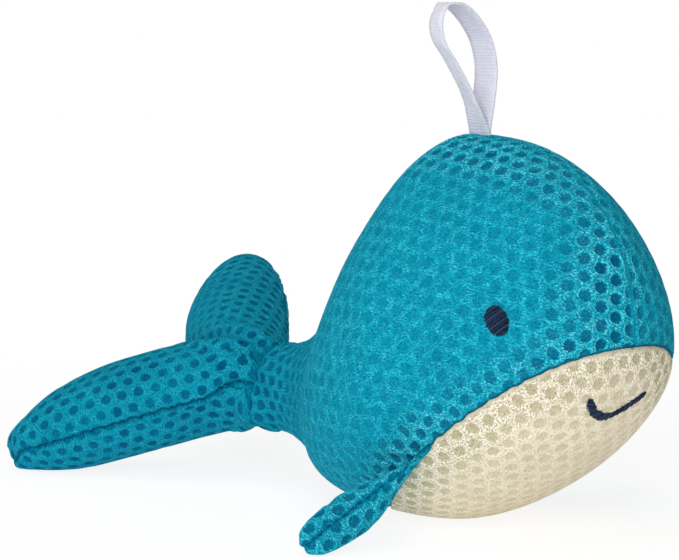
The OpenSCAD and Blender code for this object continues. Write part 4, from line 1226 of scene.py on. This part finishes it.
def filling(name, node, voxel, tuft):
    obj = placed(name, bpy.data.objects[node].data.copy())
    reshape(obj, bmesh.ops.remove_doubles, "verts", dist=1e-6)
    remesh = obj.modifiers.new("remesh", "REMESH")
    remesh.mode, remesh.voxel_size = "VOXEL", voxel
    made = evaluated(obj, remesh).data
    points, normals = np.empty((2, len(made.vertices) * 3))
    made.vertices.foreach_get("co", points)
    made.vertices.foreach_get("normal", normals)
    points, normals = points.reshape(-1, 3), normals.reshape(-1, 3)
    lump = 0.5 + 0.5 * wander(points, fibre["lumpSize"], 41)
    points = points - normals * (np.clip(lump, 0, 1) * tuft)[:, None]
    made.vertices.foreach_set("co", points.ravel())
    made.materials.clear()
    made.materials.append(fibreFill)
    made.shade_smooth()
    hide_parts(node)
    return obj


def flukeFilled(name, deep):
    rows, cols = np.linspace(0.035, 0.965, 73), np.linspace(0.02, 0.98, 25)
    above, under = (flukeGrid(rows, cols, flip)[1] for flip in (False, True))
    core = len(cols) // 2
    middle = (above[:, core:core + 1] + under[:, core:core + 1]) / 2
    rings = np.concatenate([above, under[:, ::-1]], 1)
    away = np.linalg.norm(rings - middle, axis=-1, keepdims=True)
    deep = deep * (1 + fibre["flukeTufts"] * wander(rings, fibre["flukeLumpSize"], 43)[..., None])
    rings = middle + (rings - middle) * np.maximum(1 - deep / away, 0.25)
    obj = makeMesh(name, rings.reshape(-1, 3), tubeFaces(len(rows), rings.shape[1]))
    outwards(obj)
    obj.data.materials.append(fibreFill)
    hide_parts("fluke_stuffing")
    return obj


torsoFilling = filling("torso_filling", "torso_stuffing", fibre["torsoVoxel"], fibre["torsoTuft"])
flukeFilling = flukeFilled("fluke_filling", fibre["flukeDeep"])
rightFilling, leftFilling = (filling(f"{side}_flipper_filling", f"{side}_flipper_stuffing",
    fibre["flipperVoxel"], fibre["flipperTuft"]) for side in ("right", "left"))
print("fillings made")

# The bellows as a mesh of their own, riding on the torso's body
bellows = placed("squeaker_bellows_folds", bpy.data.objects["squeaker_bellows"].data.copy())
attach(bellows, "torso")
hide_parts("squeaker_bellows")
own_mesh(bellows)


# What each piece stands for, is made of and rides on
def standsFor(nodes):
    if nodes:
        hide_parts(*nodes)


for piece, body, nodes, slot in (
        (rightSide, "torso", ("right_side_panel",), "teal_mesh"),
        (leftSide, "torso", ("left_side_panel",), "teal_mesh"),
        (belly, "torso", ("belly_panel",), "cream_mesh"),
        (rightEye, "torso", ("right_eye",), "navy_thread"),
        (leftEye, "torso", ("left_eye",), "navy_thread"),
        (smileStitches, "torso", ("smile",), "navy_thread"),
        (torsoFilling, "torso", (), "fibre_fill"),
        (loop, "hanging_loop", ("hanging_loop",), "white_ribbon")):
    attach(piece, body)
    standsFor(nodes)
for piece, nodes, slot in ((flukeTop, ("fluke_top_panel",), "teal_mesh"),
        (flukeUnder, ("fluke_bottom_panel",), "teal_mesh"), (flukeFilling, (), "fibre_fill")):
    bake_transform(piece)
    standsFor(nodes)
for side, mirror, fill in (("right", np.ones(3), rightFilling), ("left", flipY, leftFilling)):
    for piece, nodes, slot in (
            (flipperPieces[side, "upper"], (f"{side}_flipper_upper_panel",), "teal_mesh"),
            (flipperPieces[side, "lower"], (f"{side}_flipper_lower_panel",), "teal_mesh"),
            (fill, (), "fibre_fill")):
        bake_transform(piece)
        standsFor(nodes)


# Camera, light and floor
def aimed(obj, place, aim):
    obj.location = place
    obj.rotation_euler = (Vector(aim) - Vector(place)).to_track_quat("-Z", "Y").to_euler()


view = {  # in metres, and the lens in millimetres
    "eye": (0.58172, -0.55612, 0.14195), "aim": (-0.01558, -0.02758, 0.06593), "lens": 154.9, "sensor": 36,
}
camera = placed("camera", bpy.data.cameras.new("camera"))
camera.data.lens, camera.data.sensor_width = view["lens"], view["sensor"]
camera.data.clip_start, camera.data.clip_end = 0.01, 50
aimed(camera, view["eye"], view["aim"])
scene.camera = camera

lamps = (  # place, size and power
    ("keyLamp", (0.70, -0.95, 0.70), 0.9, 7.0), ("lowLamp", (0.62, -0.80, 0.12), 0.7, 3.6),
    ("topLamp", (0.0, -0.3, 1.5), 1.1, 4.8), ("backLamp", (-1.1, -0.9, 0.6), 0.9, 2.2))
for name, place, size, power in lamps:
    data = bpy.data.lights.new(name, "AREA")
    data.shape, data.size, data.energy = "DISK", size, power
    aimed(placed(name, data), place, (0, 0, 0.05))

backdrop = {"light": 0.26, "floor": (0.9, 0.9, 0.91, 1), "lift": 0.32, "shadowFrom": 0.16, "shadowTo": 0.40,
    "shadowShare": 0.78}


def seenPlainly(tree):
    # 1 for what the camera sees, directly, in a shine or through glass
    rays = tree.nodes.new("ShaderNodeLightPath").outputs
    seen = calc(tree, "ADD", rays["Is Camera Ray"], rays["Is Glossy Ray"])
    return calc(tree, "MINIMUM", calc(tree, "ADD", seen, rays["Is Transmission Ray"]), 1.0)


scene.world = bpy.data.worlds.new("studio")
sky = emptied(scene.world)
skyLight = calc(sky, "ADD", times(sky, seenPlainly(sky), 1 - backdrop["light"]), backdrop["light"])
plain = put(sky, "ShaderNodeBackground", Color=(1, 1, 1, 1), Strength=skyLight)
sky.links.new(plain.outputs[0], put(sky, "ShaderNodeOutputWorld").inputs[0])

floorMaterial = bpy.data.materials.new("paleFloor")
tree = emptied(floorMaterial)
matte = put(tree, "ShaderNodeBsdfDiffuse", Color=backdrop["floor"]).outputs[0]
bounce = put(tree, "ShaderNodeEmission", Color=(1, 1, 1, 1), Strength=backdrop["lift"]).outputs[0]
matte = put(tree, "ShaderNodeAddShader", at0=matte, at1=bounce).outputs[0]
glow = put(tree, "ShaderNodeEmission", Color=(1, 1, 1, 1), Strength=1.0).outputs[0]
far = vector(tree, "LENGTH", objectPlace(tree), out=1)
share = ramp(tree, far, backdrop["shadowFrom"], backdrop["shadowTo"], backdrop["shadowShare"], 1.0)
mix = put(tree, "ShaderNodeMixShader", Fac=times(tree, seenPlainly(tree), share), at1=matte, at2=glow)
tree.links.new(mix.outputs[0], put(tree, "ShaderNodeOutputMaterial").inputs[0])
corners = [(3 * x, 3 * y, 0) for x, y in ((-1, -1), (1, -1), (1, 1), (-1, 1))]
floor = makeMesh("floor", corners, [(0, 1, 2, 3)])
floor.data.materials.append(floorMaterial)

scene.view_settings.view_transform = "Standard"

print("scene ready")
